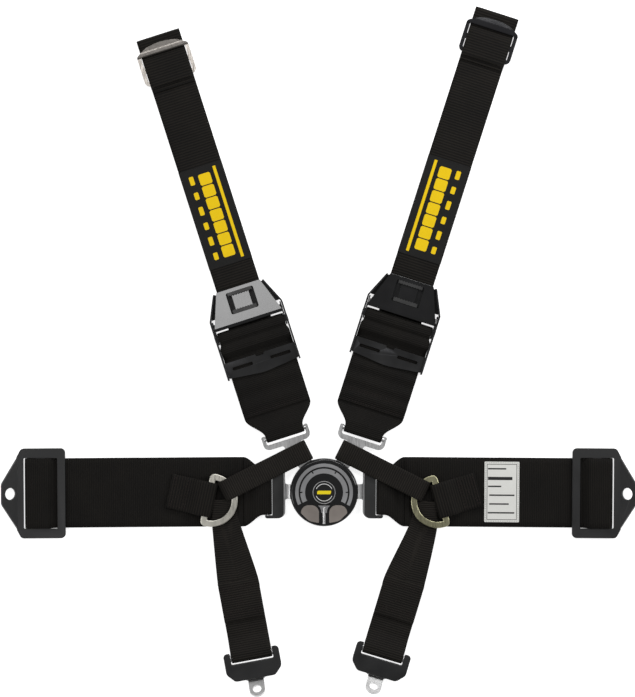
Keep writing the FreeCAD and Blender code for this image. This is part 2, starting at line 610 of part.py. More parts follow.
def make_strap(side, name):
    """Shoulder strap, folded at its far end round a bar slide into a loop for the car's bar."""
    place = shoulder_place(side)
    end, slide = S[name + "_strap_end"], S[name + "_slide"]
    far, width = slide + S["slide_length"], S["strap_width"]
    inside = width / 2 + S["slide_gap"]
    half = inside + S["slide_side"]
    bar_low = t + 1.3
    arch_low = 2 * t + 1.0
    low, under, over = t / 2, t + 0.4 + t / 2, bar_low + S["slide_bar"] + 0.35 + t / 2
    path = [(30, low), (end - 2, low, 1.6), (end - 2, low + 3.2, 1.6), (far + 8, low + 3.2, 4),
            (far, under, 4), (far - 9, under, 4), (far - 15, over, 3), (slide - 2, over, 2.5),
            (slide - 4, under, 1.5), (slide - 8, under)]
    strip(name + "_strap_webbing", place, path, "strap_width")
    bars = plate(name + "_bar_slide", place,
                 [box(-half, slide, half, far, 6), box(-inside, slide + 5, inside, slide + 15, 1),
                  box(-inside, slide + 20.5, inside, far - 9.5, 1)], "webbing + 1.3", "slide_bar")
    pocket(bars, sketch(bars, "XY_Plane", [box(-inside, far - 9.6, inside, far + 5)], level=0.0), 20)
    arch = rounded([(far - 9.5, arch_low, 0.5), (far - 8.5, arch_low + 2.8, 2),
                    (far - 4, arch_low + 3.6, 6), (far + 3, arch_low + 1.6, 0.8), (far + 3, arch_low, 0.4)])
    pad(bars, sketch(bars, "YZ_Plane", [arch]), "strap_width + 2 * slide_gap + 2 * slide_side",
        symmetric=True)
    bow = 0.55 * half
    keep_inside(bars, rounded([(-half, slide, 6), (half, slide, 6), (half, far - 7, 4), (bow, far + 0.5, 20),
                               (0, far + 3, 60), (-bow, far + 0.5, 20), (-half, far - 7, 4)]), 600, 40)
    middle = S[name + "_label"]
    reach = S["label_length"] / 2
    plate(name + "_strap_label", place,
          [box(-width / 2, middle - reach, width / 2, middle + reach, 0.6)],
          "webbing", "label_thickness")


# ---------------------------------------------------------------- lap belts

def lap_place(side):
    return placed(0, 0, -side * (90 + S["lap_droop"]))


def make_lap_tongue(side, name):
    body = new_body(name + "_lap_tongue", lap_place(side))
    level, bar, blade = S["lap_level"], S["lap_bar"], S["blade_width"] / 2
    half, slot = S["lap_frame"] / 2, S["lap_neck"] / 2 + 0.7
    path = [(S["blade_tip"], S["tongue_level"]), (37.4, S["tongue_level"], 2),
            (41.8, level, 2), (bar + 5, level)]
    pad(body, sketch(body, "YZ_Plane", [ribbon(path, S["tongue_thickness"])]), 90, symmetric=True)
    outline = [(-blade, S["blade_tip"], 4), (-blade, 42.2, 2), (-half, 42.2, 8), (-half, bar + 3.5, 2),
               (half, bar + 3.5, 2), (half, 42.2, 8), (blade, 42.2, 2), (blade, S["blade_tip"], 4)]
    keep_inside(body, rounded(outline), 130, 40)
    window = box(-3.5, S["latch_centre"] - S["latch_window"] / 2, 3.5,
                 S["latch_centre"] + S["latch_window"] / 2, 1.0)
    opening = box(-slot, 50, slot, bar + 9)
    pocket(body, sketch(body, "XY_Plane", [window, opening], level=-1.0), 40)
    spot = FreeCAD.Placement(FreeCAD.Vector(bar, level, 0), FreeCAD.Rotation())
    pad(body, sketch(body, "YZ_Plane", circles=[(0, 0, "bar_radius")], offset=spot),
        "lap_frame - 5", symmetric=True)
    inner = bar - S["bar_radius"] - 2 * S["play"] - t
    plate(name + "_lap_tongue_sleeve", lap_place(side),
          [rounded([(-half, 44.2, 6), (half, 44.2, 6), (half, bar + 3, 2), (slot, bar + 3, 0.5),
                    (slot, inner, 1), (-slot, inner, 1), (-slot, bar + 3, 0.5), (-half, bar + 3, 2)])],
          "lap_level + bar_radius + 0.1", 1.4)


def make_lap_webbing(side, name):
    near = S[name + "_lap"]
    low, level, bar = t + 0.4 + t / 2, S["lap_level"], S["lap_bar"]
    loop = S["bar_radius"] + S["play"] + t / 2
    centre = near + 27
    hump = 3 + t + 0.8 + S["anchor_plate"] + t / 2
    path = [(87, low + t + S["play"]), (80, low + t + S["play"], 8), (66, level + loop, 6),
            (bar - loop, level + loop, loop), (bar - loop, level - loop, loop),
            (centre - 15, low, 5), (centre - 8, hump - 0.3, 3), (centre, hump, 6),
            (centre + 16.3, hump, 3.4), (centre + 16.3, t / 2, 3.4), (near - 80, t / 2)]
    body = strip(name + "_lap_webbing", lap_place(side), path, "lap_width")
    half, neck = S["lap_width"] / 2, S["lap_neck"] / 2
    keep_inside(body, rounded([(-neck, 40), (neck, 40), (neck, 66, 3), (half, 88, 4), (half, 390),
                               (-half, 390), (-half, 88, 4), (-neck, 66, 3)]), 400, 40)


def make_lap_anchor(side, name):
    near, half = S[name + "_lap"], S["anchor_width"] / 2
    flat, shoulder = near + S["anchor_flat"], near + S["anchor_shoulder"]
    bend = math.radians(S["anchor_bend"])
    run = S["anchor_tab"] * math.cos(bend) + S["anchor_flat"] - S["anchor_shoulder"]
    bend_half = half - (half - 10) * (S["anchor_flat"] - S["anchor_shoulder"]) / run
    level = 2 * t + 0.8
    body = plate(name + "_lap_anchor", lap_place(side),
                 [rounded([(-half, near, 5), (half, near, 5), (half, shoulder, 5), (bend_half, flat),
                           (-bend_half, flat), (-half, shoulder, 5)])], level, "anchor_plate")
    wide = S["lap_width"] / 2 + 0.5
    windows = [box(-wide, near + 8.5, wide, near + 23, 1.5), box(-wide, near + 31, wide, near + 45.5, 1.5)]
    pocket(body, sketch(body, "XY_Plane", windows, level=level), "anchor_plate")
    tilt = FreeCAD.Placement(FreeCAD.Vector(0, flat - 0.01, level),
                             FreeCAD.Rotation(FreeCAD.Vector(1, 0, 0), S["anchor_bend"]))
    hole = S["anchor_tab"] - 10.5
    tab = rounded([(-bend_half, 0), (bend_half, 0), (11, S["anchor_tab"], 8), (-11, S["anchor_tab"], 8)])
    pad(body, sketch(body, "XY_Plane", [tab], circles=[(0, hole, "anchor_hole")], offset=tilt),
        "anchor_plate")
    return body


def make_ring(side, name, x, y, lean):
    """D ring in its sewn tab. Its frame has X towards the buckle and Y along the ring's bar."""
    turn = -lean if side < 0 else 180 + lean
    half, stock = S["ring_height"] / 2, S["ring_stock"]
    depth = stock + half
    back = depth / 2
    place = placed(x - back * math.cos(math.radians(turn)), y - back * math.sin(math.radians(turn)), turn)
    outer = rounded([(0, -half, 6), (depth, -half, half), (depth, half, half), (0, half, 6)])
    inner_half = half - stock
    inner = rounded([(stock, -inner_half), (stock + inner_half, -inner_half, inner_half),
                     (stock + inner_half, inner_half, inner_half), (stock, inner_half)])
    plate(name + "_ring", place, [outer, inner], "ring_level", "ring_thickness")
    low = 2 * t + 0.4 + S["play"] + t / 2
    high = S["ring_level"] + S["ring_thickness"] + S["play"] + t / 2
    fold = (high - low) / 2
    edge = stock + fold - 0.8
    path = [(-S["tab_reach"], low), (edge, low, fold), (edge, high, fold), (-6, high, 4),
            (-17, low + t + S["play"], 4), (-S["tab_reach"], low + t + S["play"])]
    body = new_body(name + "_ring_tab", place)
    pad(body, sketch(body, "XZ_Plane", [ribbon(path, t)]), "tab_width", symmetric=True)


def make_tag():
    near = 175.0
    plate("approval_tag", lap_place(1),
          [box(-33.5, near, S["tag_height"] - 33.5, near + S["tag_width"], 1.0)],
          "webbing * 2 + 0.4 + 0.2", "tag_thickness")


# ---------------------------------------------------------------- leg straps

def make_leg_loop(side, name, place, ring_run):
    """Thin webbing loop: over the shoulder tongue, through the D ring, down to the leg strap."""
    fall = math.radians(S["leg_fall"])
    angle = math.radians(S["shoulder_angle"])
    cross = (S["leg_crossing"] * math.sin(angle), S["leg_crossing"] * math.cos(angle))
    past = 11.5
    start = (side * (cross[0] - past * math.cos(fall)), cross[1] + past * math.sin(fall))
    upper = placed(start[0], start[1], -side * (90 + S["leg_fall"]))
    below = S["tongue_level"] - S["tongue_thickness"] / 2 - 0.5 - t / 2
    above = S["tongue_level"] + S["tongue_thickness"] / 2 + S["play"] + t / 2
    fold = (above - below) / 2
    run_low = S["lap_level"] + S["bar_radius"] + t + 2 * S["play"]
    half = t / 2
    outside = [(105, run_low), (35, run_low, 6.5), (23.5, below - half, 5.5),
               (-half, below - half, fold + half), (-half, above + half, fold + half),
               (25, above + half, 7), (33, run_low + 2 * t, 7), (105, run_low + 2 * t)]
    between = [(34.6, run_low + t), (23.1, below + half, 6.5),
               (half, below + half, fold - half), (half, above - half, fold - half),
               (25, above - half, 5), (33, run_low + t, 5)]
    run = doc.addObject("PartDesign::Body", name + "_loop_run")
    run.Placement = upper
    pad(run, sketch(run, "YZ_Plane", [rounded(outside), rounded(between)]), "leg_width", symmetric=True)
    drop = doc.addObject("PartDesign::Body", name + "_loop_drop")
    drop.Placement = upper
    pad(drop, sketch(drop, "XY_Plane", circles=[(0, 99, 5.5)], level=4.5), run_low - 3.5)
    lower = doc.addObject("PartDesign::Body", name + "_loop_lower")
    lower.Placement = place
    start_y = S["patch_start"] + 4
    shift = 6 * -side
    outline = [(-22.5, start_y), (22.5, start_y), (22.5, S["patch_end"] - 4, 10),
               (16.5, ring_run - 38, 10), (9 + shift, ring_run - 6, 4), (9 + shift, ring_run + 21),
               (-9 + shift, ring_run + 21), (-9 + shift, ring_run - 6, 4), (-16.5, ring_run - 38, 10),
               (-22.5, S["patch_end"] - 4, 10)]
    pad(lower, sketch(lower, "XY_Plane", [rounded(outline)], level=2 * t + 0.6), 2 * t)
    whole = doc.addObject("Part::MultiFuse", name + "_leg_loop")
    whole.Shapes = [run, drop, lower]
    whole.Label = name + "_leg_loop"
    nodes[whole.Label] = whole


def make_leg_strap(name, place):
    loop = S["crotch_bar"] + S["play"] + t / 2
    level, upper = S["crotch_level"], 1.5 * t + S["play"]
    path = [(S["patch_end"] - 2, t / 2), (-loop, level - loop, loop), (-loop, level + loop, loop),
            (5, level + loop, 5), (22, upper, 10), (S["patch_end"], upper)]
    strip(name + "_leg_strap", place, path, "leg_strap_width")


def make_crotch_anchor(name, place):
    half, slot = S["crotch_width"] / 2, S["leg_strap_width"] / 2 + 0.8
    level, inner = S["crotch_level"], -6.6
    body = plate(name + "_crotch_anchor", place,
                 [rounded([(-half, 4.5, 3), (-slot, 4.5, 0.5), (-slot, inner, 1.5), (slot, inner, 1.5),
                           (slot, 4.5, 0.5), (half, 4.5, 3), (half, -15, 5), (8.5, -27), (-8.5, -27),
                           (-half, -15, 5)])],
                 level - S["anchor_plate"] / 2, "anchor_plate")
    spot = FreeCAD.Placement(FreeCAD.Vector(0, level, 0), FreeCAD.Rotation())
    pad(body, sketch(body, "YZ_Plane", circles=[(0, 0, "crotch_bar")], offset=spot),
        "crotch_width - 7", symmetric=True)
    tilt = FreeCAD.Placement(FreeCAD.Vector(0, -26.9, level - S["anchor_plate"] / 2),
                             FreeCAD.Rotation(FreeCAD.Vector(1, 0, 0), -S["eye_bend"]))
    eye = rounded([(-8.5, 0), (8.5, 0), (8.5, -23.5, 8), (-8.5, -23.5, 8)])
    pad(body, sketch(body, "XY_Plane", [eye], circles=[(0, -14.6, "eye_hole")], offset=tilt),
        "anchor_plate")
    plate(name + "_crotch_anchor_cover", place,
          [rounded([(-half, 6.5, 4), (-slot, 6.5, 1), (-slot, inner, 2), (slot, inner, 2),
                    (slot, 6.5, 1), (half, 6.5, 4), (half, -16, 7), (22, -25, 6), (-22, -25, 6),
                    (-half, -16, 7)])],
          "crotch_level + crotch_bar + 0.1", 2.0)


make_base_plate()
make_housing()
make_centre_post()
make_dial_clip()
make_latch_star()
make_return_spring()
make_housing_screws()
make_slot_plug()
make_dial()
make_inlays()
make_cam_rotor()

# side, name, D ring centre and lean, anchor bar of the leg strap and its lean
SIDES = (
    (-1, "left", (-112.0, -12.0), 12.4, (-79.0, -178.8), 10.5),
    (1, "right", (113.0, -14.0), 16.0, (64.2, -176.8), 16.8),
)

for side, name, ring_spot, ring_lean, leg_spot, leg_lean in SIDES:
    make_shoulder_tongue(side, name)
    make_pad_webbing(side, name, S[name + "_adjuster"])
    make_adjuster(side, name, S[name + "_adjuster"])
    make_strap(side, name)
    make_lap_tongue(side, name)
    make_lap_webbing(side, name)
    make_lap_anchor(side, name)
    make_ring(side, name, ring_spot[0], ring_spot[1], ring_lean)
    leg_place = placed(leg_spot[0], leg_spot[1], -side * leg_lean)
    ring_run = math.hypot(ring_spot[0] - leg_spot[0], ring_spot[1] - leg_spot[1])
    make_leg_loop(side, name, leg_place, ring_run)
    make_leg_strap(name, leg_place)
    make_crotch_anchor(name, leg_place)
make_tag()

doc.recompute()
for thing in doc.Objects:
    if "Invalid" in thing.State or "Error" in thing.State:
        raise RuntimeError("%s failed: %s" % (thing.Label, thing.State))
os.makedirs("parts", exist_ok=True)
for name, thing in nodes.items():
    shape = thing.Shape
    if shape.isNull() or not shape.isValid() or not shape.Solids:
        raise RuntimeError("%s has no valid solid" % name)
    if len(shape.Solids) > 1 and name != "housing_screws":
        raise RuntimeError("%s came apart into %d solids" % (name, len(shape.Solids)))
for name, thing in nodes.items():
    thing.Shape.exportStep("parts/%s.step" % name)
print(len(nodes), "nodes")
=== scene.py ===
import json
import math

import bmesh
import bpy
from mathutils import Matrix, Vector


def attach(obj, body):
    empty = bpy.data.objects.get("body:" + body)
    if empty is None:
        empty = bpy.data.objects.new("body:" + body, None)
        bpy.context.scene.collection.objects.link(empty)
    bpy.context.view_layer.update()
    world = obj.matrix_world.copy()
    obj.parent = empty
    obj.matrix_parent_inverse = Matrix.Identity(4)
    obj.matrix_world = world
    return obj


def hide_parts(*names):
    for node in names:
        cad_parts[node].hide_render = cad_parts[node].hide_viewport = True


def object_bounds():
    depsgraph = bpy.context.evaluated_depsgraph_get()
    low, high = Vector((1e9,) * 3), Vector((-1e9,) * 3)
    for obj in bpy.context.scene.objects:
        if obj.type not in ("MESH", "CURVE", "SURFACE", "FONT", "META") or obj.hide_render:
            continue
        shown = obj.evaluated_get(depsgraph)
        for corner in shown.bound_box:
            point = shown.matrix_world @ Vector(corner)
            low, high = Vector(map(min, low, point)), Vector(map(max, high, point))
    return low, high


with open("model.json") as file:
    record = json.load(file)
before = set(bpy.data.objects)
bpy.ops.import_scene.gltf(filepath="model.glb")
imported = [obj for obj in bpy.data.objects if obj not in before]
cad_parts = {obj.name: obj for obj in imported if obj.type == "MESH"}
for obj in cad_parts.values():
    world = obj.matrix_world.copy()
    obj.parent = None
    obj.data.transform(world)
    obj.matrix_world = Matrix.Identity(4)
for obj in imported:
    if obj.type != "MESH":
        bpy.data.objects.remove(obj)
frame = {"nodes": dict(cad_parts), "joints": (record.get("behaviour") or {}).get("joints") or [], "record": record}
cad_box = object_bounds()

MM = 0.001
SIDES = ((-1, "left"), (1, "right"))
PLY = 1.5 * MM
RIB_SWELL = 0.10 * MM
SELVEDGE = 0.9 * MM
COLUMNS = 12
LEVER_PIVOT = 47.0      # from the adjuster's start to its pivot bar, in millimetres
PLAY = 2.5              # from the adjuster frame's edge to the start of its measures
STITCH_RISE = 0.82      # thread's middle above the webbing's middle plane


# ---------------------------------------------------------------- belt frames
# Each belt has a frame of its own: X across the belt, Y along it, Z up.

def joint(name):
    return next(j for j in frame["joints"] if j["name"] == name)


def turned_frame(origin, along):
    """Matrix whose Y runs along a flat direction from an origin at floor level."""
    y = Vector((along[0], along[1], 0)).normalized()
    x = Vector((y.y, -y.x, 0))
    grid = Matrix((x, y, Vector((0, 0, 1)))).transposed().to_4x4()
    grid.translation = Vector((origin[0], origin[1], 0))
    return grid


def shoulder_frame(name):
    return turned_frame(joint(name + "_shoulder_swing")["pos_m"], joint(name + "_strap_adjust")["axis"])


def lap_frame(name):
    return turned_frame((0, 0), joint(name + "_lap_release")["axis"])


def leg_frame(name):
    swing = joint(name + "_crotch_tilt")
    across = Vector(swing["axis"])
    return turned_frame(swing["pos_m"], (across.y, -across.x))


def span(node, grid):
    """Lowest and highest corner of a CAD node in a belt's frame."""
    inverse = grid.inverted()
    points = [inverse @ v.co for v in frame["nodes"][node].data.vertices]
    return (Vector([min(p[i] for p in points) for i in range(3)]),
            Vector([max(p[i] for p in points) for i in range(3)]))


# ---------------------------------------------------------------- materials

def new_material(name, color, roughness, metallic=0.0, specular=0.5):
    material = bpy.data.materials.new(name)
    material.use_nodes = True
    shader = material.node_tree.nodes["Principled BSDF"]
    shader.inputs["Base Color"].default_value = (*color, 1)
    shader.inputs["Roughness"].default_value = roughness
    shader.inputs["Metallic"].default_value = metallic
    shader.inputs["Specular IOR Level"].default_value = specular
    return material, material.node_tree, shader


def add_node(tree, kind, values=None, **properties):
    node = tree.nodes.new(kind)
    for key, value in properties.items():
        setattr(node, key, value)
    for key, value in (values or {}).items():
        node.inputs[key].default_value = value
    return node


def math_node(tree, operation, first, second=0.0, clamp=False):
    node = add_node(tree, "ShaderNodeMath", operation=operation, use_clamp=clamp)
    for socket, value in zip(node.inputs, (first, second)):
        if isinstance(value, (int, float)):
            socket.default_value = value
        else:
            tree.links.new(value, socket)
    return node.outputs[0]


def mix_colors(tree, factor, first, second):
    node = add_node(tree, "ShaderNodeMix", data_type="RGBA")
    if isinstance(factor, (int, float)):
        node.inputs[0].default_value = factor
    else:
        tree.links.new(factor, node.inputs[0])
    for socket, value in ((node.inputs[6], first), (node.inputs[7], second)):
        if isinstance(value, tuple):
            socket.default_value = (*value, 1)
        else:
            tree.links.new(value, socket)
    return node.outputs[2]


def noise(tree, scale, detail=4.0, vector=None):
    node = add_node(tree, "ShaderNodeTexNoise", {"Scale": scale, "Detail": detail})
    if vector is None:
        vector = add_node(tree, "ShaderNodeTexCoord").outputs["Object"]
    tree.links.new(vector, node.inputs["Vector"])
    return node.outputs["Fac"]


def ramp(tree, value, low, high, out_low, out_high):
    node = add_node(tree, "ShaderNodeMapRange", {"From Min": low, "From Max": high,
                                                 "To Min": out_low, "To Max": out_high})
    tree.links.new(value, node.inputs["Value"])
    return node.outputs["Result"]


def bump(tree, shader, height, distance, strength=1.0):
    node = add_node(tree, "ShaderNodeBump", {"Distance": distance, "Strength": strength})
    tree.links.new(height, node.inputs["Height"])
    tree.links.new(node.outputs["Normal"], shader.inputs["Normal"])


def webbing_material(name, dark, light, pitch, thread, sheen=0.02):
    """Ribbed webbing, its colour darker in the grooves between ribs as painted shade. The map "belt" holds
    millimetres across and along the belt.
    """
    material, tree, shader = new_material(name, dark, 0.72, specular=0.18)
    shader.inputs["Sheen Weight"].default_value = sheen
    shader.inputs["Sheen Roughness"].default_value = 0.5
    place = add_node(tree, "ShaderNodeUVMap", uv_map="belt")
    split = add_node(tree, "ShaderNodeSeparateXYZ")
    tree.links.new(place.outputs["UV"], split.inputs["Vector"])
    across, along = split.outputs["X"], split.outputs["Y"]
    rib = math_node(tree, "COSINE", math_node(tree, "MULTIPLY", along, 2 * math.pi / pitch))
    row = math_node(tree, "FLOOR", math_node(tree, "DIVIDE", along, pitch / 2))
    offset = math_node(tree, "MULTIPLY", row, 0.5)
    weft = math_node(tree, "SINE", math_node(tree, "MULTIPLY", math_node(
        tree, "ADD", math_node(tree, "DIVIDE", across, thread), offset), 2 * math.pi))
    grain = noise(tree, 900.0, 3.0)
    cloud = noise(tree, 28.0, 3.0)
    # the rib profile darkens the colour in the grooves between ribs (painted shade) and also raises the bump
    rib_relief_and_shade = math_node(tree, "ADD", math_node(tree, "MULTIPLY", rib, 0.5), 0.5)
    weave_relief_and_shade = math_node(tree, "MULTIPLY", math_node(tree, "ADD", math_node(
        tree, "MULTIPLY", weft, 0.28), 0.72), rib_relief_and_shade)
    shade = math_node(tree, "ADD", math_node(tree, "MULTIPLY", weave_relief_and_shade, 0.75),
                      math_node(tree, "MULTIPLY", math_node(tree, "SUBTRACT", grain, 0.5), 0.6))
    shade = math_node(tree, "ADD", shade, math_node(
        tree, "MULTIPLY", math_node(tree, "SUBTRACT", cloud, 0.5), 0.5), clamp=True)
    tree.links.new(mix_colors(tree, shade, dark, light), shader.inputs["Base Color"])
    tree.links.new(ramp(tree, grain, 0.2, 0.8, 0.62, 0.85), shader.inputs["Roughness"])
    height = math_node(tree, "ADD", weave_relief_and_shade, math_node(tree, "MULTIPLY", grain, 0.25))
    bump(tree, shader, height, 0.25 * MM, 0.8)
    return material


def cloth_material(name, color, light, scale, roughness=0.8):
    """Fine flat-woven cloth for labels and tags."""
    material, tree, shader = new_material(name, color, roughness, specular=0.3)
    coordinates = add_node(tree, "ShaderNodeTexCoord")
    weave = add_node(tree, "ShaderNodeTexChecker", {"Scale": scale})
    tree.links.new(coordinates.outputs["Object"], weave.inputs["Vector"])
    cloud = noise(tree, 150.0)
    shade = math_node(tree, "MULTIPLY", math_node(tree, "ADD", weave.outputs["Fac"], cloud), 0.5)
    tree.links.new(mix_colors(tree, shade, color, light), shader.inputs["Base Color"])
    bump(tree, shader, shade, 0.05 * MM, 0.6)
    return material


def coated_material(name, color, roughness, metallic=0.0, coat=0.0, grain_size=700.0, grain=0.15,
                    edge_tint=None):
    """Painted, moulded or powder-coated surface with fine grain, smears and, if given, a lighter speckled colour
    on its sharp convex edges.
    """
    material, tree, shader = new_material(name, color, roughness, metallic)
    shader.inputs["Coat Weight"].default_value = coat
    shader.inputs["Coat Roughness"].default_value = 0.06
    smear = noise(tree, 35.0, 5.0)
    fine = noise(tree, grain_size, 2.0)
    tree.links.new(ramp(tree, smear, 0.3, 0.7, roughness * 0.8, roughness * 1.25),
                   shader.inputs["Roughness"])
    brighter = tuple(min(1.0, c * 1.35 + 0.004) for c in color)
    tone = mix_colors(tree, ramp(tree, smear, 0.35, 0.75, 0.0, 1.0), color, brighter)
    if edge_tint:
        # lighter, speckled colour on sharp convex edges, masked by pointiness and fine noise
        geometry = add_node(tree, "ShaderNodeNewGeometry")
        edge = ramp(tree, geometry.outputs["Pointiness"], 0.53, 0.62, 0.0, 0.6)
        tone = mix_colors(tree, math_node(tree, "MULTIPLY", edge, fine, clamp=True), tone, edge_tint)
    tree.links.new(tone, shader.inputs["Base Color"])
    bump(tree, shader, fine, 0.05 * MM, grain)
    return material


def metal_material(name, color, roughness, stretch=(1600.0, 90.0, 1600.0)):
    """Plated steel with drawn scratches and a slightly uneven tone."""
    material, tree, shader = new_material(name, color, roughness, 1.0)
    coordinates = add_node(tree, "ShaderNodeTexCoord")
    scaled = add_node(tree, "ShaderNodeMapping", {"Scale": stretch})
    tree.links.new(coordinates.outputs["Object"], scaled.inputs["Vector"])
    drawn = noise(tree, 1.0, 4.0, scaled.outputs["Vector"])
    cloud = noise(tree, 45.0, 4.0)
    darker = tuple(c * 0.72 for c in color)
    tree.links.new(mix_colors(tree, ramp(tree, cloud, 0.3, 0.75, 0.0, 1.0), color, darker),
                   shader.inputs["Base Color"])
    tree.links.new(ramp(tree, drawn, 0.3, 0.7, roughness * 0.75, roughness * 1.4),
                   shader.inputs["Roughness"])
    bump(tree, shader, drawn, 0.012 * MM, 0.3)
    return material


WIDE_RIB = 2.0
STRAP_RIB = 2.9
FINE_RIB = 2.5
web_dark, web_light = (0.0012, 0.0010, 0.0008), (0.0150, 0.0124, 0.0092)
materials = {
    "wide_webbing": webbing_material("wide_webbing", web_dark, web_light, WIDE_RIB, 0.9),
    "strap_webbing": webbing_material("strap_webbing", web_dark, (0.020, 0.0162, 0.0120), STRAP_RIB, 1.1),
    "loop_webbing": webbing_material("loop_webbing", (0.003, 0.0025, 0.0020), (0.029, 0.0245, 0.0195),
                                     FINE_RIB, 0.9),
    "thread": cloth_material("thread", (0.010, 0.006, 0.006), (0.035, 0.024, 0.022), 4000.0),
    "label_cloth": cloth_material("label_cloth", (0.003, 0.003, 0.003), (0.012, 0.012, 0.011), 1600.0),
    "label_yellow": cloth_material("label_yellow", (0.84, 0.55, 0.0), (0.95, 0.66, 0.004), 1600.0),
    "tag_white": cloth_material("tag_white", (0.74, 0.74, 0.70), (0.86, 0.86, 0.83), 1400.0),
    "tag_ink": cloth_material("tag_ink", (0.015, 0.015, 0.017), (0.03, 0.03, 0.03), 1400.0),
    "gloss_black": coated_material("gloss_black", (0.004, 0.004, 0.0045), 0.13, coat=0.25, grain=0.02),
    "black_steel": coated_material("black_steel", (0.006, 0.006, 0.0065), 0.34, metallic=0.15,
                                   edge_tint=(0.12, 0.12, 0.13)),
    "black_plastic": coated_material("black_plastic", (0.011, 0.011, 0.011), 0.42),
    "anchor_black": coated_material("anchor_black", (0.0065, 0.0065, 0.007), 0.5, grain_size=1600.0,
                                    grain=0.5, edge_tint=(0.05, 0.05, 0.05)),
    # silver metal standing in for a bright reflection on the glossy black bar slide: painted reflection
    "slide_reflection_silver": metal_material("slide_reflection_silver", (0.36, 0.335, 0.31), 0.36),
    "slide_steel": coated_material("slide_steel", (0.014, 0.014, 0.016), 0.16, metallic=0.4, coat=0.5),
    "grey_inlay": coated_material("grey_inlay", (0.22, 0.22, 0.225), 0.38, grain_size=1800.0, grain=0.35),
    "thumb_grey": coated_material("thumb_grey", (0.20, 0.175, 0.158), 0.42, grain_size=1500.0, grain=0.4),
    "badge_black": coated_material("badge_black", (0.005, 0.005, 0.005), 0.14, coat=0.5),
    "badge_yellow": coated_material("badge_yellow", (0.83, 0.62, 0.0), 0.4),
    "badge_white": coated_material("badge_white", (0.8, 0.8, 0.78), 0.4),
    "bright_steel": metal_material("bright_steel", (0.72, 0.72, 0.72), 0.36),
    "spring_steel": metal_material("spring_steel", (0.32, 0.32, 0.34), 0.35),
    # one yellow zinc plating in two copies: cream as if reflecting bright light, olive as if reflecting a darker
    # surround (painted reflection)
    "cream_steel": metal_material("cream_steel", (0.86, 0.83, 0.74), 0.34),
    "olive_steel": metal_material("olive_steel", (0.50, 0.48, 0.31), 0.30),
}


# ---------------------------------------------------------------- meshes

def mesh_data(name, mesh):
    """Mesh data made from a working mesh, which is freed."""
    data = bpy.data.meshes.new(name)
    mesh.to_mesh(data)
    mesh.free()
    return data


def new_object(name, mesh, material, smooth=True):
    mesh.materials.append(materials[material])
    for face in mesh.polygons:
        face.use_smooth = smooth
    thing = bpy.data.objects.new(name, mesh)
    bpy.context.scene.collection.objects.link(thing)
    return thing


def smooth_path(corners, step):
    """Points and lengths along straight runs joined by arcs. A corner is (y, z, radius)."""
    corners = [(Vector((c[0], c[1])), c[2] if len(c) > 2 else 0.0) for c in corners]
    points = [corners[0][0]]
    for index in range(1, len(corners) - 1):
        here, radius = corners[index]
        back = (corners[index - 1][0] - here).normalized()
        ahead = (corners[index + 1][0] - here).normalized()
        half = math.acos(max(-1.0, min(1.0, back.dot(ahead)))) / 2
        if radius <= 0 or half > math.pi / 2 - 1e-4:
            points.append(here)
            continue
        centre = here + (back + ahead).normalized() * (radius / math.sin(half))
        start, end = here + back * (radius / math.tan(half)), here + ahead * (radius / math.tan(half))
        first, sweep = start - centre, math.pi - 2 * half
        turn = 1 if first.x * (end - centre).y - first.y * (end - centre).x > 0 else -1
        count = max(2, int(math.degrees(sweep) / 9))
        for k in range(count + 1):
            angle = turn * sweep * k / count
            points.append(centre + Vector((first.x * math.cos(angle) - first.y * math.sin(angle),
                                           first.x * math.sin(angle) + first.y * math.cos(angle))))
    points.append(corners[-1][0])
    lengths = [0.0]
    for a, b in zip(points, points[1:]):
        lengths.append(lengths[-1] + (b - a).length)
    total = lengths[-1]
    stations, index = [], 0
    for k in range(max(2, int(total / step)) + 1):
        wanted = total * k / max(2, int(total / step))
        while index < len(points) - 2 and lengths[index + 1] < wanted:
            index += 1
        piece = lengths[index + 1] - lengths[index]
        share = (wanted - lengths[index]) / piece if piece > 0 else 0.0
        stations.append((points[index].lerp(points[index + 1], share), wanted))
    return stations


def webbing(name, stations, material, pitch):
    """Ribbed strip. A station is (centre, across, half width, length so far), all in metres."""
    centres = [s[0] for s in stations]
    mesh = bmesh.new()
    rows, places = [], []
    for index, (centre, across, half, length) in enumerate(stations):
        ahead = (centres[min(index + 1, len(centres) - 1)] - centres[max(index - 1, 0)]).normalized()
        normal = across.cross(ahead).normalized()
        wave = math.cos(2 * math.pi * length / (pitch * MM))
        body = PLY / 2 - RIB_SWELL + RIB_SWELL * wave
        rim_share = SELVEDGE * 0.35 / half
        shares = [-1 + 2 * k / COLUMNS for k in range(COLUMNS + 1)]
        shares = [-1, -1 + rim_share] + shares[1:-1] + [1 - rim_share, 1]
        top, bottom, place = [], [], []
        for share in shares:
            x = share * half
            rim = max(0.0, abs(x) - (half - SELVEDGE)) / SELVEDGE
            height = body * math.sqrt(max(0.04, 1 - rim * rim))
            spot = centre + across * x
            top.append(mesh.verts.new(spot + normal * height))
            bottom.append(mesh.verts.new(spot - normal * height))
            place.append((x / MM, length / MM))
        rows.append(top + bottom[::-1])
        places.append(place + place[::-1])
    layer = mesh.loops.layers.uv.new("belt")
    count = len(rows[0])
    for i in range(len(rows) - 1):
        for k in range(count):
            following = (k + 1) % count
            face = mesh.faces.new((rows[i][k], rows[i][following], rows[i + 1][following], rows[i + 1][k]))
            corners = (places[i][k], places[i][following], places[i + 1][following], places[i + 1][k])
            for loop, corner in zip(face.loops, corners):
                loop[layer].uv = corner
    side = count // 2
    for i, flip in ((0, False), (len(rows) - 1, True)):
        for k in range(side - 1):
            ring = [rows[i][k], rows[i][k + 1], rows[i][count - 2 - k], rows[i][count - 1 - k]]
            face = mesh.faces.new(ring[::-1] if not flip else ring)
            for loop in face.loops:
                loop[layer].uv = places[i][rows[i].index(loop.vert)]
    bmesh.ops.recalc_face_normals(mesh, faces=mesh.faces)
    return new_object(name, mesh_data(name, mesh), material)


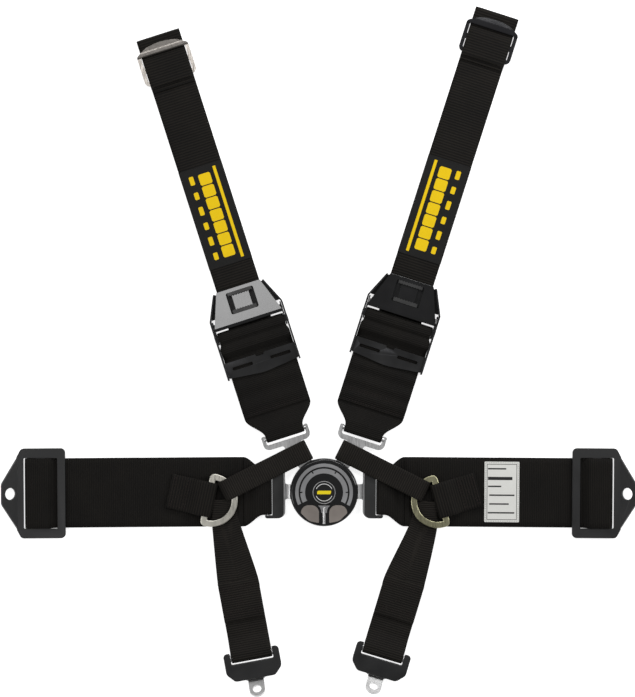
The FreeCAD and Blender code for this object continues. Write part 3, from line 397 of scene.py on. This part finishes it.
def belt(name, grid, corners, half_width, material, pitch, wave=None):
    """Webbing seen from its side as a path of (y, z, radius) corners in millimetres."""
    scaled = [tuple(value * MM for value in corner) for corner in corners]
    stations = []
    across = (grid.to_3x3() @ Vector((1, 0, 0))).normalized()
    for point, length in smooth_path(scaled, pitch * MM / 5):
        y = point.x / MM
        half = half_width(y) if callable(half_width) else half_width
        z = point.y + (wave(y) * MM if wave else 0.0)
        stations.append((grid @ Vector((0, point.x, z)), across, half * MM, length))
    return webbing(name, stations, material, pitch)


def refined(node, body, material, bevel=0.5, segments=3):
    """The CAD node's own shape with rounded edges, so that its edges catch the light."""
    source = frame["nodes"][node]
    mesh = bmesh.new()
    mesh.from_mesh(source.data)
    bmesh.ops.remove_doubles(mesh, verts=mesh.verts, dist=0.002 * MM)
    bmesh.ops.dissolve_limit(mesh, angle_limit=math.radians(1.0), verts=mesh.verts, edges=mesh.edges)
    data = mesh_data(node + "_look", mesh)
    data.materials.clear()
    thing = new_object(node + "_look", data, material)
    edge = thing.modifiers.new("edge", "BEVEL")
    edge.width = bevel * MM
    edge.segments = segments
    edge.limit_method = "ANGLE"
    edge.angle_limit = math.radians(32)
    edge.use_clamp_overlap = True
    flat = thing.modifiers.new("flat", "WEIGHTED_NORMAL")
    flat.mode = "FACE_AREA"
    flat.weight = 90
    graph = bpy.context.evaluated_depsgraph_get()
    finished = bpy.data.meshes.new_from_object(thing.evaluated_get(graph))
    thing.modifiers.clear()
    thing.data = finished
    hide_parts(node)
    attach(thing, body)


def slot_of(node):
    return next(p["material_slot"] for p in frame["record"]["subparts"] if p["node"] == node)


def paint(node, material):
    """A CAD node that keeps its own shape gets its material."""
    data = frame["nodes"][node].data
    data.materials.clear()
    data.materials.append(materials[material])
    for face in data.polygons:
        face.material_index = 0


def stitches(name, grid, lines, level, material="thread", length=2.2, gap=0.9, width=0.55, height=0.35):
    """Rows of thread along lines (x0, y0, x1, y1) in millimetres, as small rounded bars."""
    mesh = bmesh.new()
    for x0, y0, x1, y1 in lines:
        start, end = Vector((x0, y0, 0)), Vector((x1, y1, 0))
        total = (end - start).length
        count = max(1, int(total / (length + gap)))
        ahead = (end - start) / total
        angle = math.atan2(ahead.y, ahead.x)
        for k in range(count):
            middle = start + ahead * (total * (k + 0.5) / count)
            z = level(middle.x, middle.y) if callable(level) else level
            spot = grid @ Matrix.Translation(Vector((middle.x, middle.y, z)) * MM)
            spot = spot @ Matrix.Rotation(angle, 4, "Z")
            size = Matrix.Diagonal((length * MM, width * MM, height * MM, 1))
            bmesh.ops.create_icosphere(mesh, subdivisions=1, radius=0.5, matrix=spot @ size)
    return new_object(name, mesh_data(name, mesh), material)


# ---------------------------------------------------------------- shoulder belts

def tapered(points):
    """Half width that follows straight lines between (y, half width) points."""
    def half_width(y):
        for (y0, w0), (y1, w1) in zip(points, points[1:]):
            if y <= y1:
                share = max(0.0, (y - y0) / (y1 - y0))
                smooth = share * share * (3 - 2 * share)
                return w0 + (w1 - w0) * smooth
        return points[-1][1]
    return half_width


def band(body, slot, thing, *nodes):
    """Ride a webbing mesh on its body and let it stand in for its CAD nodes."""
    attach(thing, body)
    if nodes:
        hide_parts(*nodes)


def rolls(low, high, count, rise):
    """Height of soft drapes that lie across a belt between two places along it."""
    def height(y):
        if y <= low or y >= high:
            return 0.0
        return rise * math.sin(math.pi * count * (y - low) / (high - low)) ** 2
    return height


def adjuster_start(name, grid):
    """Place along the belt that the adjuster's measures start from, in millimetres."""
    return span(name + "_adjuster_frame", grid)[0].y / MM + PLAY


def pad_webbing(name, side):
    """Wide webbing from the tongue's ring, under the adjuster and back over its bar."""
    grid, node = shoulder_frame(name), name + "_pad_webbing"
    body = name + "_shoulder"
    start = adjuster_start(name, grid)
    pivot = start + LEVER_PIVOT
    low, middle, top = 2.65, 4.45, 6.25
    corners = [(60, middle), (25, middle, 12), (10, 12.9, 8), (-3.55, 13.05, 3.4), (-3.55, 5.95, 3.4),
               (8, 5.95, 8), (25, low, 12), (pivot + 5.05, low, 5.05), (pivot + 5.05, low + 10.1, 5.05),
               (pivot - 4, low + 10.1, 4), (start + 39, 10.4, 3), (start + 34, 12.2, 4),
               (start + 29, 12.0, 3), (start + 22.5, top, 3), (28.5, top)]
    width = tapered([(-4, 21.2), (3, 21.4), (27, 37.4), (start + 1, 37.4), (start + 6, 39.2),
                     (pivot - 13, 39.2), (pivot - 8, 37.5), (400, 37.5)])
    drape = rolls(29, start - 1, 3 if side > 0 else 2, 1.5)
    thing = belt(node + "_look", grid, corners, width, "wide_webbing", WIDE_RIB, wave=drape)
    band(body, slot_of(node), thing, node)
    hem = 28.5
    lines = [(k * 17, hem + 2.0, k * 33, hem + 2.0) for k in (-1, 1)]
    lines += [(-33, hem + 4.4, 33, hem + 4.4), (-30, hem + 2.0, 30, hem + 2.0)]
    if name == "right":
        lines += [(-33, 44, 33, 44), (-33, 41.6, 33, 41.6), (-33, hem + 5, -33, 44), (33, hem + 5, 33, 44)]
    thread = stitches(node + "_thread", grid, lines, lambda x, y: top + STITCH_RISE + drape(y))
    band(body, slot_of(node), thread)


def painted_window_shade(name):
    """Dark toothed bands across both ends of the cover's window: painted shadow over its recessed ends."""
    grid, node, body = shoulder_frame(name), name + "_adjuster_lever", name + "_lever"
    start = adjuster_start(name, grid)
    slope_start, slope_end = start + 57.6, start + 96
    high_level, low_level, rib_relief_and_shade = 14.8, 8.6, 0.12
    half, count, tooth_depth = 13.5, 18, 0.9
    mesh = bmesh.new()
    for low, high, teeth_low, teeth_high in ((67.5, 72.0, 0, tooth_depth),
                                             (87.2, 91.5, tooth_depth, tooth_depth)):
        lower, upper = [], []
        for k in range(count + 1):
            x = -half + 2 * half * k / count
            for row, y in ((lower, low + teeth_low * (k % 2)), (upper, high - teeth_high * (k % 2))):
                along = (start + y - slope_start) / (slope_end - slope_start)
                z = high_level + (low_level - high_level) * along + rib_relief_and_shade
                row.append(mesh.verts.new(grid @ (Vector((x, start + y, z)) * MM)))
        for k in range(count):
            mesh.faces.new((lower[k], lower[k + 1], upper[k + 1], upper[k]))
    # black strips laid where the window's ends lie in shade: painted shadow
    shadow_strips = new_object(node + "_bands", mesh_data(node + "_bands", mesh), "black_plastic", smooth=False)
    band(body, slot_of(node), shadow_strips)


def shoulder_strap(name):
    """Narrow strap with its far end folded round the bar slide."""
    grid, node = shoulder_frame(name), name + "_strap_webbing"
    slide_low, slide_high = span(name + "_bar_slide", grid)
    end, slide = span(node, grid)[1].y / MM, slide_low.y / MM
    arch_reach = 3
    far = slide_high.y / MM - arch_reach
    base, under, over = 0.75, 2.65, 6.1
    corners = [(30, base), (end - 2, base, 1.6), (end - 2, base + 3.2, 1.6), (far + 8, base + 3.2, 4),
               (far, under, 4), (far - 9, under, 4), (far - 15, over, 3), (slide - 2, over, 2.5),
               (slide - 4, under, 1.5), (slide - 8, under)]
    thing = belt(node + "_look", grid, corners, 24.35, "strap_webbing", STRAP_RIB)
    band(name + "_strap", slot_of(node), thing, node)


def strap_label(name, side):
    """Cloth label with a long stripe and two rows of plain blocks."""
    grid, node = shoulder_frame(name), name + "_strap_label"
    low, high = span(node, grid)
    middle = (low.y + high.y) / 2 / MM
    inner = -side
    mesh = bmesh.new()
    blocks = [(inner * 14.7, middle, 3.3, 104.0, 0.35)]
    pitch = 13.7
    for k in range(7):
        blocks.append((inner * 1.7, middle + (k - 3) * pitch, 13.5, 12.5, 1.4))
    for k in range(6):
        blocks.append((-inner * 13.0, middle + (k - 2.5) * 17.2, 5.0, 8.0 + 1.6 * (k % 2), 0.8))
    for x, y, wide, long, cut in blocks:
        a, b = wide / 2, long / 2
        outline = [(-a + cut, -b), (a - cut, -b), (a, -b + cut), (a, b - cut), (a - cut, b),
                   (-a + cut, b), (-a, b - cut), (-a, -b + cut)]
        top = [mesh.verts.new(grid @ (Vector((x + u, y + v, 2.18)) * MM)) for u, v in outline]
        foot = [mesh.verts.new(grid @ (Vector((x + u, y + v, 2.0)) * MM)) for u, v in outline]
        mesh.faces.new(top)
        for k in range(8):
            following = (k + 1) % 8
            mesh.faces.new((foot[k], foot[following], top[following], top[k]))
    marks = new_object(node + "_blocks", mesh_data(node + "_blocks", mesh), "label_yellow", smooth=False)
    band(name + "_strap", slot_of(node), marks)
    refined(node, name + "_strap", "label_cloth", 0.2, 2)
    reach, half = (high.y - low.y) / 2 / MM - 1.2, 23.2
    lines = [(-half, middle - reach, -half, middle + reach), (half, middle - reach, half, middle + reach),
             (-half, middle - reach, half, middle - reach), (-half, middle + reach, half, middle + reach)]
    thread = stitches(node + "_thread", grid, lines, 2.16, "thread", 1.8, 0.7, 0.4, 0.2)
    band(name + "_strap", slot_of(node), thread)


# ---------------------------------------------------------------- lap belts

def lap_webbing(name):
    """Wide webbing folded round the tongue's bar and through the anchor's window."""
    grid, node = lap_frame(name), name + "_lap_webbing"
    near = span(name + "_lap_anchor", grid)[0].y / MM
    base, level, bar = 2.65, 6.2, 61.0
    centre, hump = near + 27, 9.05
    corners = [(87, base + 1.8), (80, base + 1.8, 8), (66, level + 3.55, 6),
               (bar - 3.55, level + 3.55, 3.5), (bar - 3.55, level - 3.55, 3.5),
               (centre - 15, base, 5), (centre - 8, hump - 0.3, 3), (centre, hump, 6),
               (centre + 16.3, hump, 3.4), (centre + 16.3, 0.75, 3.4), (near - 80, 0.75)]
    width = tapered([(57, 24.9), (66, 25.2), (88, 37.9), (near, 37.9), (near + 14, 38.2), (400, 38.2)])
    thing = belt(node + "_look", grid, corners, width, "wide_webbing", WIDE_RIB,
                 wave=rolls(66, 100, 2, 1.3))
    band(name + "_lap", slot_of(node), thing, node)


def plan_belt(name, points, half_width, material, pitch):
    """Webbing through flat-lying points (x, y, z) in millimetres, curved gently between them."""
    knots = [Vector(p) * MM for p in points]
    knots = [2 * knots[0] - knots[1]] + knots + [2 * knots[-1] - knots[-2]]
    fine = []
    for i in range(1, len(knots) - 2):
        before, here, there, after = knots[i - 1:i + 3]
        for k in range(40):
            u = k / 40
            fine.append(0.5 * (2 * here + (there - before) * u
                               + (2 * before - 5 * here + 4 * there - after) * u * u
                               + (3 * here - before - 3 * there + after) * u * u * u))
    fine.append(knots[-2])
    lengths = [0.0]
    for a, b in zip(fine, fine[1:]):
        lengths.append(lengths[-1] + (b - a).length)
    count = max(4, int(lengths[-1] / (pitch * MM / 5)))
    stations, index = [], 0
    for k in range(count + 1):
        wanted = lengths[-1] * k / count
        while index < len(fine) - 2 and lengths[index + 1] < wanted:
            index += 1
        share = (wanted - lengths[index]) / (lengths[index + 1] - lengths[index])
        here = fine[index].lerp(fine[index + 1], share)
        ahead = fine[index + 1] - fine[index]
        across = Vector((ahead.y, -ahead.x, 0)).normalized()
        stations.append((here, across, half_width * MM, wanted))
    return webbing(name, stations, material, pitch)


# ---------------------------------------------------------------- rings and leg loops

RINGS = {"left": ((-112.0, -12.0), 12.4), "right": ((113.0, -14.0), 16.0)}
RING_STOCK = 7.0
RING_DEPTH = 36.0


def ring_frame(name, side):
    """Frame of a D ring's tab. Y runs from the tab towards the buckle."""
    (x, y), lean = RINGS[name]
    turn = math.radians(-lean if side < 0 else 180 + lean)
    along = (math.cos(turn), math.sin(turn))
    origin = ((x - RING_DEPTH / 2 * along[0]) * MM, (y - RING_DEPTH / 2 * along[1]) * MM)
    return turned_frame(origin, along)


def box_lines(x0, y0, x1, y1, cross=True):
    """Stitch lines round a box, with or without its two diagonals."""
    lines = [(x0, y0, x1, y0), (x0, y1, x1, y1), (x0, y0, x0, y1), (x1, y0, x1, y1)]
    if cross:
        lines += [(x0, y0, x1, y1), (x0, y1, x1, y0)]
    return lines


def ring_tab(name, side):
    """Folded tab that holds the D ring, with its box of stitches, and the ring itself."""
    grid, node = ring_frame(name, side), name + "_ring_tab"
    low, high, fold = 4.45, 11.25, 3.4
    edge = RING_STOCK + fold - 0.8
    corners = [(-40, low), (edge, low, fold), (edge, high, fold), (-6, high, 4), (-17, low + 1.8, 4),
               (-40, low + 1.8)]
    thing = belt(node + "_look", grid, corners, 18.9, "strap_webbing", STRAP_RIB)
    band(name + "_lap", slot_of(node), thing, node)
    lines = box_lines(-15.5, -37.5, 15.5, -19.5)
    lines += [(-15.5, -35.2, 15.5, -35.2), (-15.5, -21.8, 15.5, -21.8)]
    thread = stitches(node + "_thread", grid, lines, 7.08)
    band(name + "_lap", slot_of(node), thread)
    # left ring gets the lit copy and right ring the shaded copy of the same zinc plating: painted reflection
    refined(name + "_ring", name + "_lap", "cream_steel" if side < 0 else "olive_steel", 1.25, 5)


def leg_loop(name, side):
    """Two plies from the buckle's tongue, through the D ring and down to the sewn patch."""
    node, body = name + "_leg_loop", name + "_lap"
    fall, shoulder = math.radians(26.5), math.radians(34.0)
    reach, setback = 49.1, 11.5
    start = (side * (reach * math.sin(shoulder) - setback * math.cos(fall)),
             reach * math.cos(shoulder) + setback * math.sin(fall))
    run = turned_frame((start[0] * MM, start[1] * MM), (side * math.cos(fall), -math.sin(fall)))
    below, above, level = 6.75, 12.05, 11.55
    fold = (above - below) / 2
    corners = [(103, 7.4, 2), (99, level, 8), (35, level, 6.5), (23.4, below, 6), (0, below, fold - 0.1),
               (0, above, fold - 0.1), (25, above, 7), (33, level + PLY / MM, 7),
               (101, level + PLY / MM, 9), (104.5, 8.0)]
    upper = belt(node + "_run", run, corners, 11.4, "loop_webbing", FINE_RIB)
    band(body, slot_of(node), upper, node)
    grid = leg_frame(name)
    ply_level = 4.35
    rx, ry = RINGS[name][0]
    outer = [(rx + side * -1.0, ry + 2, 8.6), (rx + side * -0.6, ry - 9, 6.0),
             (rx - side * 1.5, ry - 30, ply_level)]
    inner = [(rx - side * 3.0, ry + 3, 7.0), (rx - side * 5.0, ry - 9, 4.9),
             (rx - side * 10.2, ry - 28, ply_level)]
    for x, y in ((10.95, 84.5), (11.0, 66.0), (11.0, 41.0)):
        spot = grid @ Vector((side * x * MM, y * MM, 0))
        outer.append((spot.x / MM, spot.y / MM, ply_level))
        spot = grid @ Vector((-side * x * MM, y * MM, 0))
        inner.append((spot.x / MM, spot.y / MM, ply_level))
    for label, points in (("outer", outer), ("inner", inner)):
        ply = plan_belt(node + "_" + label, points, 11.15, "loop_webbing", FINE_RIB)
        band(body, slot_of(node), ply)
    patch_low, patch_high, top = 39.6, 83.0, 5.85
    corners = [(patch_low - 0.2, 4.6), (patch_low + 2.5, top, 2), (patch_high - 1.6, top, 1.4),
               (patch_high, top - 1.5)]
    patch = belt(node + "_patch", grid, corners, 22.3, "loop_webbing", FINE_RIB)
    band(body, slot_of(node), patch)
    lines = box_lines(-19, 44.5, 19, 77.5)
    lines += [(-19, 74.6, 19, 74.6), (-19, 47.2, 19, 47.2), (-19, 50.2, 19, 50.2)]
    thread = stitches(node + "_thread", grid, lines, top + 0.84)
    band(body, slot_of(node), thread)


def leg_strap(name):
    """Leg strap folded through its anchor, with the anchor and its cover."""
    grid, node = leg_frame(name), name + "_leg_strap"
    loop, level, upper = 4.55, 5.3, 2.55
    corners = [(81.5, 0.75), (-loop, level - loop, loop - 0.1), (-loop, level + loop, loop - 0.1),
               (5, level + loop, 5), (22, upper, 10), (83.5, upper)]
    thing = belt(node + "_look", grid, corners, 22.3, "loop_webbing", FINE_RIB)
    band(name + "_lap", slot_of(node), thing, node)
    refined(name + "_crotch_anchor", name + "_crotch", "bright_steel", 0.6, 3)
    refined(name + "_crotch_anchor_cover", name + "_crotch", "anchor_black", 0.8, 3)


def approval_tag():
    """White sewn tag with a thin border and plain printed lines."""
    grid, node, body = lap_frame("right"), "approval_tag", "right_lap"
    low, high = span(node, grid)
    x0, y0, x1, y1 = low.x / MM, low.y / MM, high.x / MM, high.y / MM
    top = high.z / MM
    refined(node, body, "tag_white", 0.12, 2)
    near, far = 2.6, 3.1
    bars = [(x0 + near, y0 + near, x1 - near, y0 + far), (x0 + near, y1 - far, x1 - near, y1 - near),
            (x0 + near, y0 + near, x0 + far, y1 - near), (x1 - far, y0 + near, x1 - near, y1 - near)]
    for row, (begin, reach) in enumerate(((0.10, 0.62), (0.10, 0.80), (0.10, 0.48), (0.14, 0.86),
                                          (0.14, 0.70), (0.10, 0.86))):
        x = x0 + 7 + row * 9.6
        tall = 3.4 if row == 1 else 1.5
        bars.append((x, y0 + begin * (y1 - y0), x + tall, y0 + reach * (y1 - y0)))
    mesh = bmesh.new()
    for a, b, c, d in bars:
        for level, order in ((top + 0.12, 1), (top, -1)):
            corners = ((a, b), (c, b), (c, d), (a, d))[::order]
            mesh.faces.new([mesh.verts.new(grid @ (Vector((x, y, level)) * MM)) for x, y in corners])
    marks = new_object(node + "_print", mesh_data(node + "_print", mesh), "tag_ink", smooth=False)
    band(body, slot_of(node), marks)
    thread = stitches(node + "_thread", grid, box_lines(x0 + 1.2, y0 + 1.2, x1 - 1.2, y1 - 1.2, False),
                      top + 0.1, "tag_ink", 1.6, 0.8, 0.35, 0.2)
    band(body, slot_of(node), thread)


# ---------------------------------------------------------------- buckle

def arc_shape(mesh, inner, outer, start, end, low, high):
    """Raised piece of a flat ring about the buckle's axis, angles in degrees."""
    count = max(2, int((end - start) / 4))
    rows = []
    for k in range(count + 1):
        angle = math.radians(start + (end - start) * k / count)
        c, s = math.cos(angle), math.sin(angle)
        rows.append([mesh.verts.new(Vector((r * c, r * s, z)) * MM)
                     for r, z in ((inner, low), (inner, high), (outer, high), (outer, low))])
    for a, b in zip(rows, rows[1:]):
        for k in range(3):
            mesh.faces.new((a[k], a[k + 1], b[k + 1], b[k]))
    mesh.faces.new(rows[0])
    mesh.faces.new(rows[-1][::-1])


def flat_shape(mesh, outline, low, high):
    """Raised flat piece with an open underside."""
    top = [mesh.verts.new(Vector((x, y, high)) * MM) for x, y in outline]
    foot = [mesh.verts.new(Vector((x, y, low)) * MM) for x, y in outline]
    mesh.faces.new(top)
    for k in range(len(outline)):
        following = (k + 1) % len(outline)
        mesh.faces.new((foot[k], foot[following], top[following], top[k]))


def emblem():
    """Plain bar and ring on the badge in place of any mark."""
    top = span("badge", Matrix())[1].z / MM
    face = span("dial", Matrix())[1].z / MM
    for name, material in (("badge_bar", "badge_yellow"), ("badge_ring", "badge_white"),
                           ("badge_rim", "bright_steel"), ("pad_web", "grey_inlay")):
        mesh = bmesh.new()
        if name == "badge_bar":
            flat_shape(mesh, [(-7.5, -1.9), (6.4, -1.9), (7.5, -0.6), (7.5, 1.9), (-6.4, 1.9), (-7.5, 0.6)],
                       top - 0.05, top + 0.12)
        elif name == "badge_ring":
            arc_shape(mesh, 8.9, 9.5, 25, 155, top - 0.05, top + 0.10)
            arc_shape(mesh, 8.9, 9.5, 205, 335, top - 0.05, top + 0.10)
        elif name == "pad_web":
            flat_shape(mesh, [(-6.6, -14.2), (-4.4, -16.2), (-3.3, -19.0), (-3.0, -22.0), (3.0, -22.0),
                              (3.3, -19.0), (4.4, -16.2), (6.6, -14.2)][::-1], face - 0.05, face + 0.12)
        else:
            arc_shape(mesh, 11.6, 12.3, 0, 360, top - 0.05, top + 0.25)
        bmesh.ops.recalc_face_normals(mesh, faces=mesh.faces)
        mark = new_object(name, mesh_data(name, mesh), material, smooth=False)
        band("dial_turn", slot_of("badge"), mark)


def buckle():
    """Buckle pieces with their looks, hidden ones with their CAD shape."""
    for node, body, material, bevel in (
            ("base_plate", "buckle", "black_steel", 0.4), ("housing", "buckle", "black_steel", 0.5),
            ("slot_plug", "buckle", "black_plastic", 0.3), ("dial", "dial_turn", "gloss_black", 0.7),
            ("outer_inlay", "dial_turn", "grey_inlay", 0.25),
            ("inner_inlay", "dial_turn", "grey_inlay", 0.25),
            ("left_thumb_pad", "dial_turn", "thumb_grey", 0.5),
            ("right_thumb_pad", "dial_turn", "thumb_grey", 0.5),
            ("dial_pin", "dial_turn", "bright_steel", 0.4), ("badge", "dial_turn", "badge_black", 0.5)):
        refined(node, body, material, bevel)
    for node, material in (("centre_post", "bright_steel"), ("dial_clip", "spring_steel"),
                           ("latch_star", "spring_steel"), ("return_spring", "spring_steel"),
                           ("housing_screws", "bright_steel"), ("cam_rotor", "bright_steel")):
        paint(node, material)
    emblem()


buckle()
for side, name in SIDES:
    refined(name + "_shoulder_tongue", name + "_shoulder_tongue", "bright_steel", 0.9, 4)
    pad_webbing(name, side)
    refined(name + "_adjuster_frame", name + "_shoulder", "black_steel", 0.5)
    refined(name + "_adjuster_bar", name + "_shoulder", "black_steel", 0.4)
    refined(name + "_adjuster_lever", name + "_lever", "gloss_black", 0.6, 4)
    painted_window_shade(name)
    refined(name + "_clamp_bar", name + "_lever", "bright_steel", 0.4)
    shoulder_strap(name)
    strap_label(name, side)
    # both slides are the same glossy black part; the left one's silver colour is a painted reflection
    refined(name + "_bar_slide", name + "_strap", "slide_reflection_silver" if side < 0 else "slide_steel", 0.7, 4)
    refined(name + "_lap_tongue", name + "_lap", "bright_steel", 0.7, 4)
    refined(name + "_lap_tongue_sleeve", name + "_lap", "black_plastic", 0.5, 4)
    lap_webbing(name)
    refined(name + "_lap_anchor", name + "_lap", "anchor_black", 0.8, 4)
    ring_tab(name, side)
    leg_loop(name, side)
    leg_strap(name)
approval_tag()


# ---------------------------------------------------------------- studio

def area_light(name, location, target, size, power):
    """White rectangular light that faces its target."""
    data = bpy.data.lights.new(name, "AREA")
    data.shape = "RECTANGLE"
    data.size, data.size_y = size
    data.energy = power
    light = bpy.data.objects.new(name, data)
    light.location = location
    light.rotation_euler = (Vector(target) - Vector(location)).to_track_quat("-Z", "Y").to_euler()
    bpy.context.scene.collection.objects.link(light)


centre = Vector(((cad_box[0][0] + cad_box[1][0]) / 2, (cad_box[0][1] + cad_box[1][1]) / 2, 0))
area_light("key", (-0.31, 0.72, 1.35), (-0.12, 0.23, 0), (0.42, 0.34), 3.2)
area_light("side", (1.05, 0.35, 0.95), centre, (0.35, 1.3), 7)
area_light("low", (-0.95, -0.25, 0.95), centre, (0.35, 1.2), 4)
area_light("top", (0.35, 1.5, 0.8), centre, (1.2, 0.3), 10)

world = bpy.data.worlds.new("studio")
bpy.context.scene.world = world
world.use_nodes = True
world.node_tree.nodes["Background"].inputs["Color"].default_value = (1, 1, 1, 1)
world.node_tree.nodes["Background"].inputs["Strength"].default_value = 0.22

floor_material, _, floor_shader = new_material("floor", (0.8, 0.8, 0.8), 0.9, specular=0.0)
floor_shader.inputs["Emission Color"].default_value = (1, 1, 1, 1)
floor_shader.inputs["Emission Strength"].default_value = 0.75
floor_mesh = bpy.data.meshes.new("floor")
floor_mesh.from_pydata([(-6, -6, -0.0004), (6, -6, -0.0004), (6, 6, -0.0004), (-6, 6, -0.0004)], [],
                       [(0, 1, 2, 3)])
floor_mesh.materials.append(floor_material)
floor = bpy.data.objects.new("floor", floor_mesh)
bpy.context.scene.collection.objects.link(floor)

camera_data = bpy.data.cameras.new("camera")
camera_data.lens = 100
camera_data.sensor_width = 36
camera_data.clip_end = 20
camera = bpy.data.objects.new("camera", camera_data)
PICTURE_HEIGHT = 0.759
view_offset = Vector((-0.0014, 0.0011, 0))
camera.location = centre + view_offset + Vector((0, 0, 0.008 + PICTURE_HEIGHT * camera_data.lens / 36))
bpy.context.scene.collection.objects.link(camera)
bpy.context.scene.camera = camera
bpy.context.scene.view_settings.view_transform = "Standard"
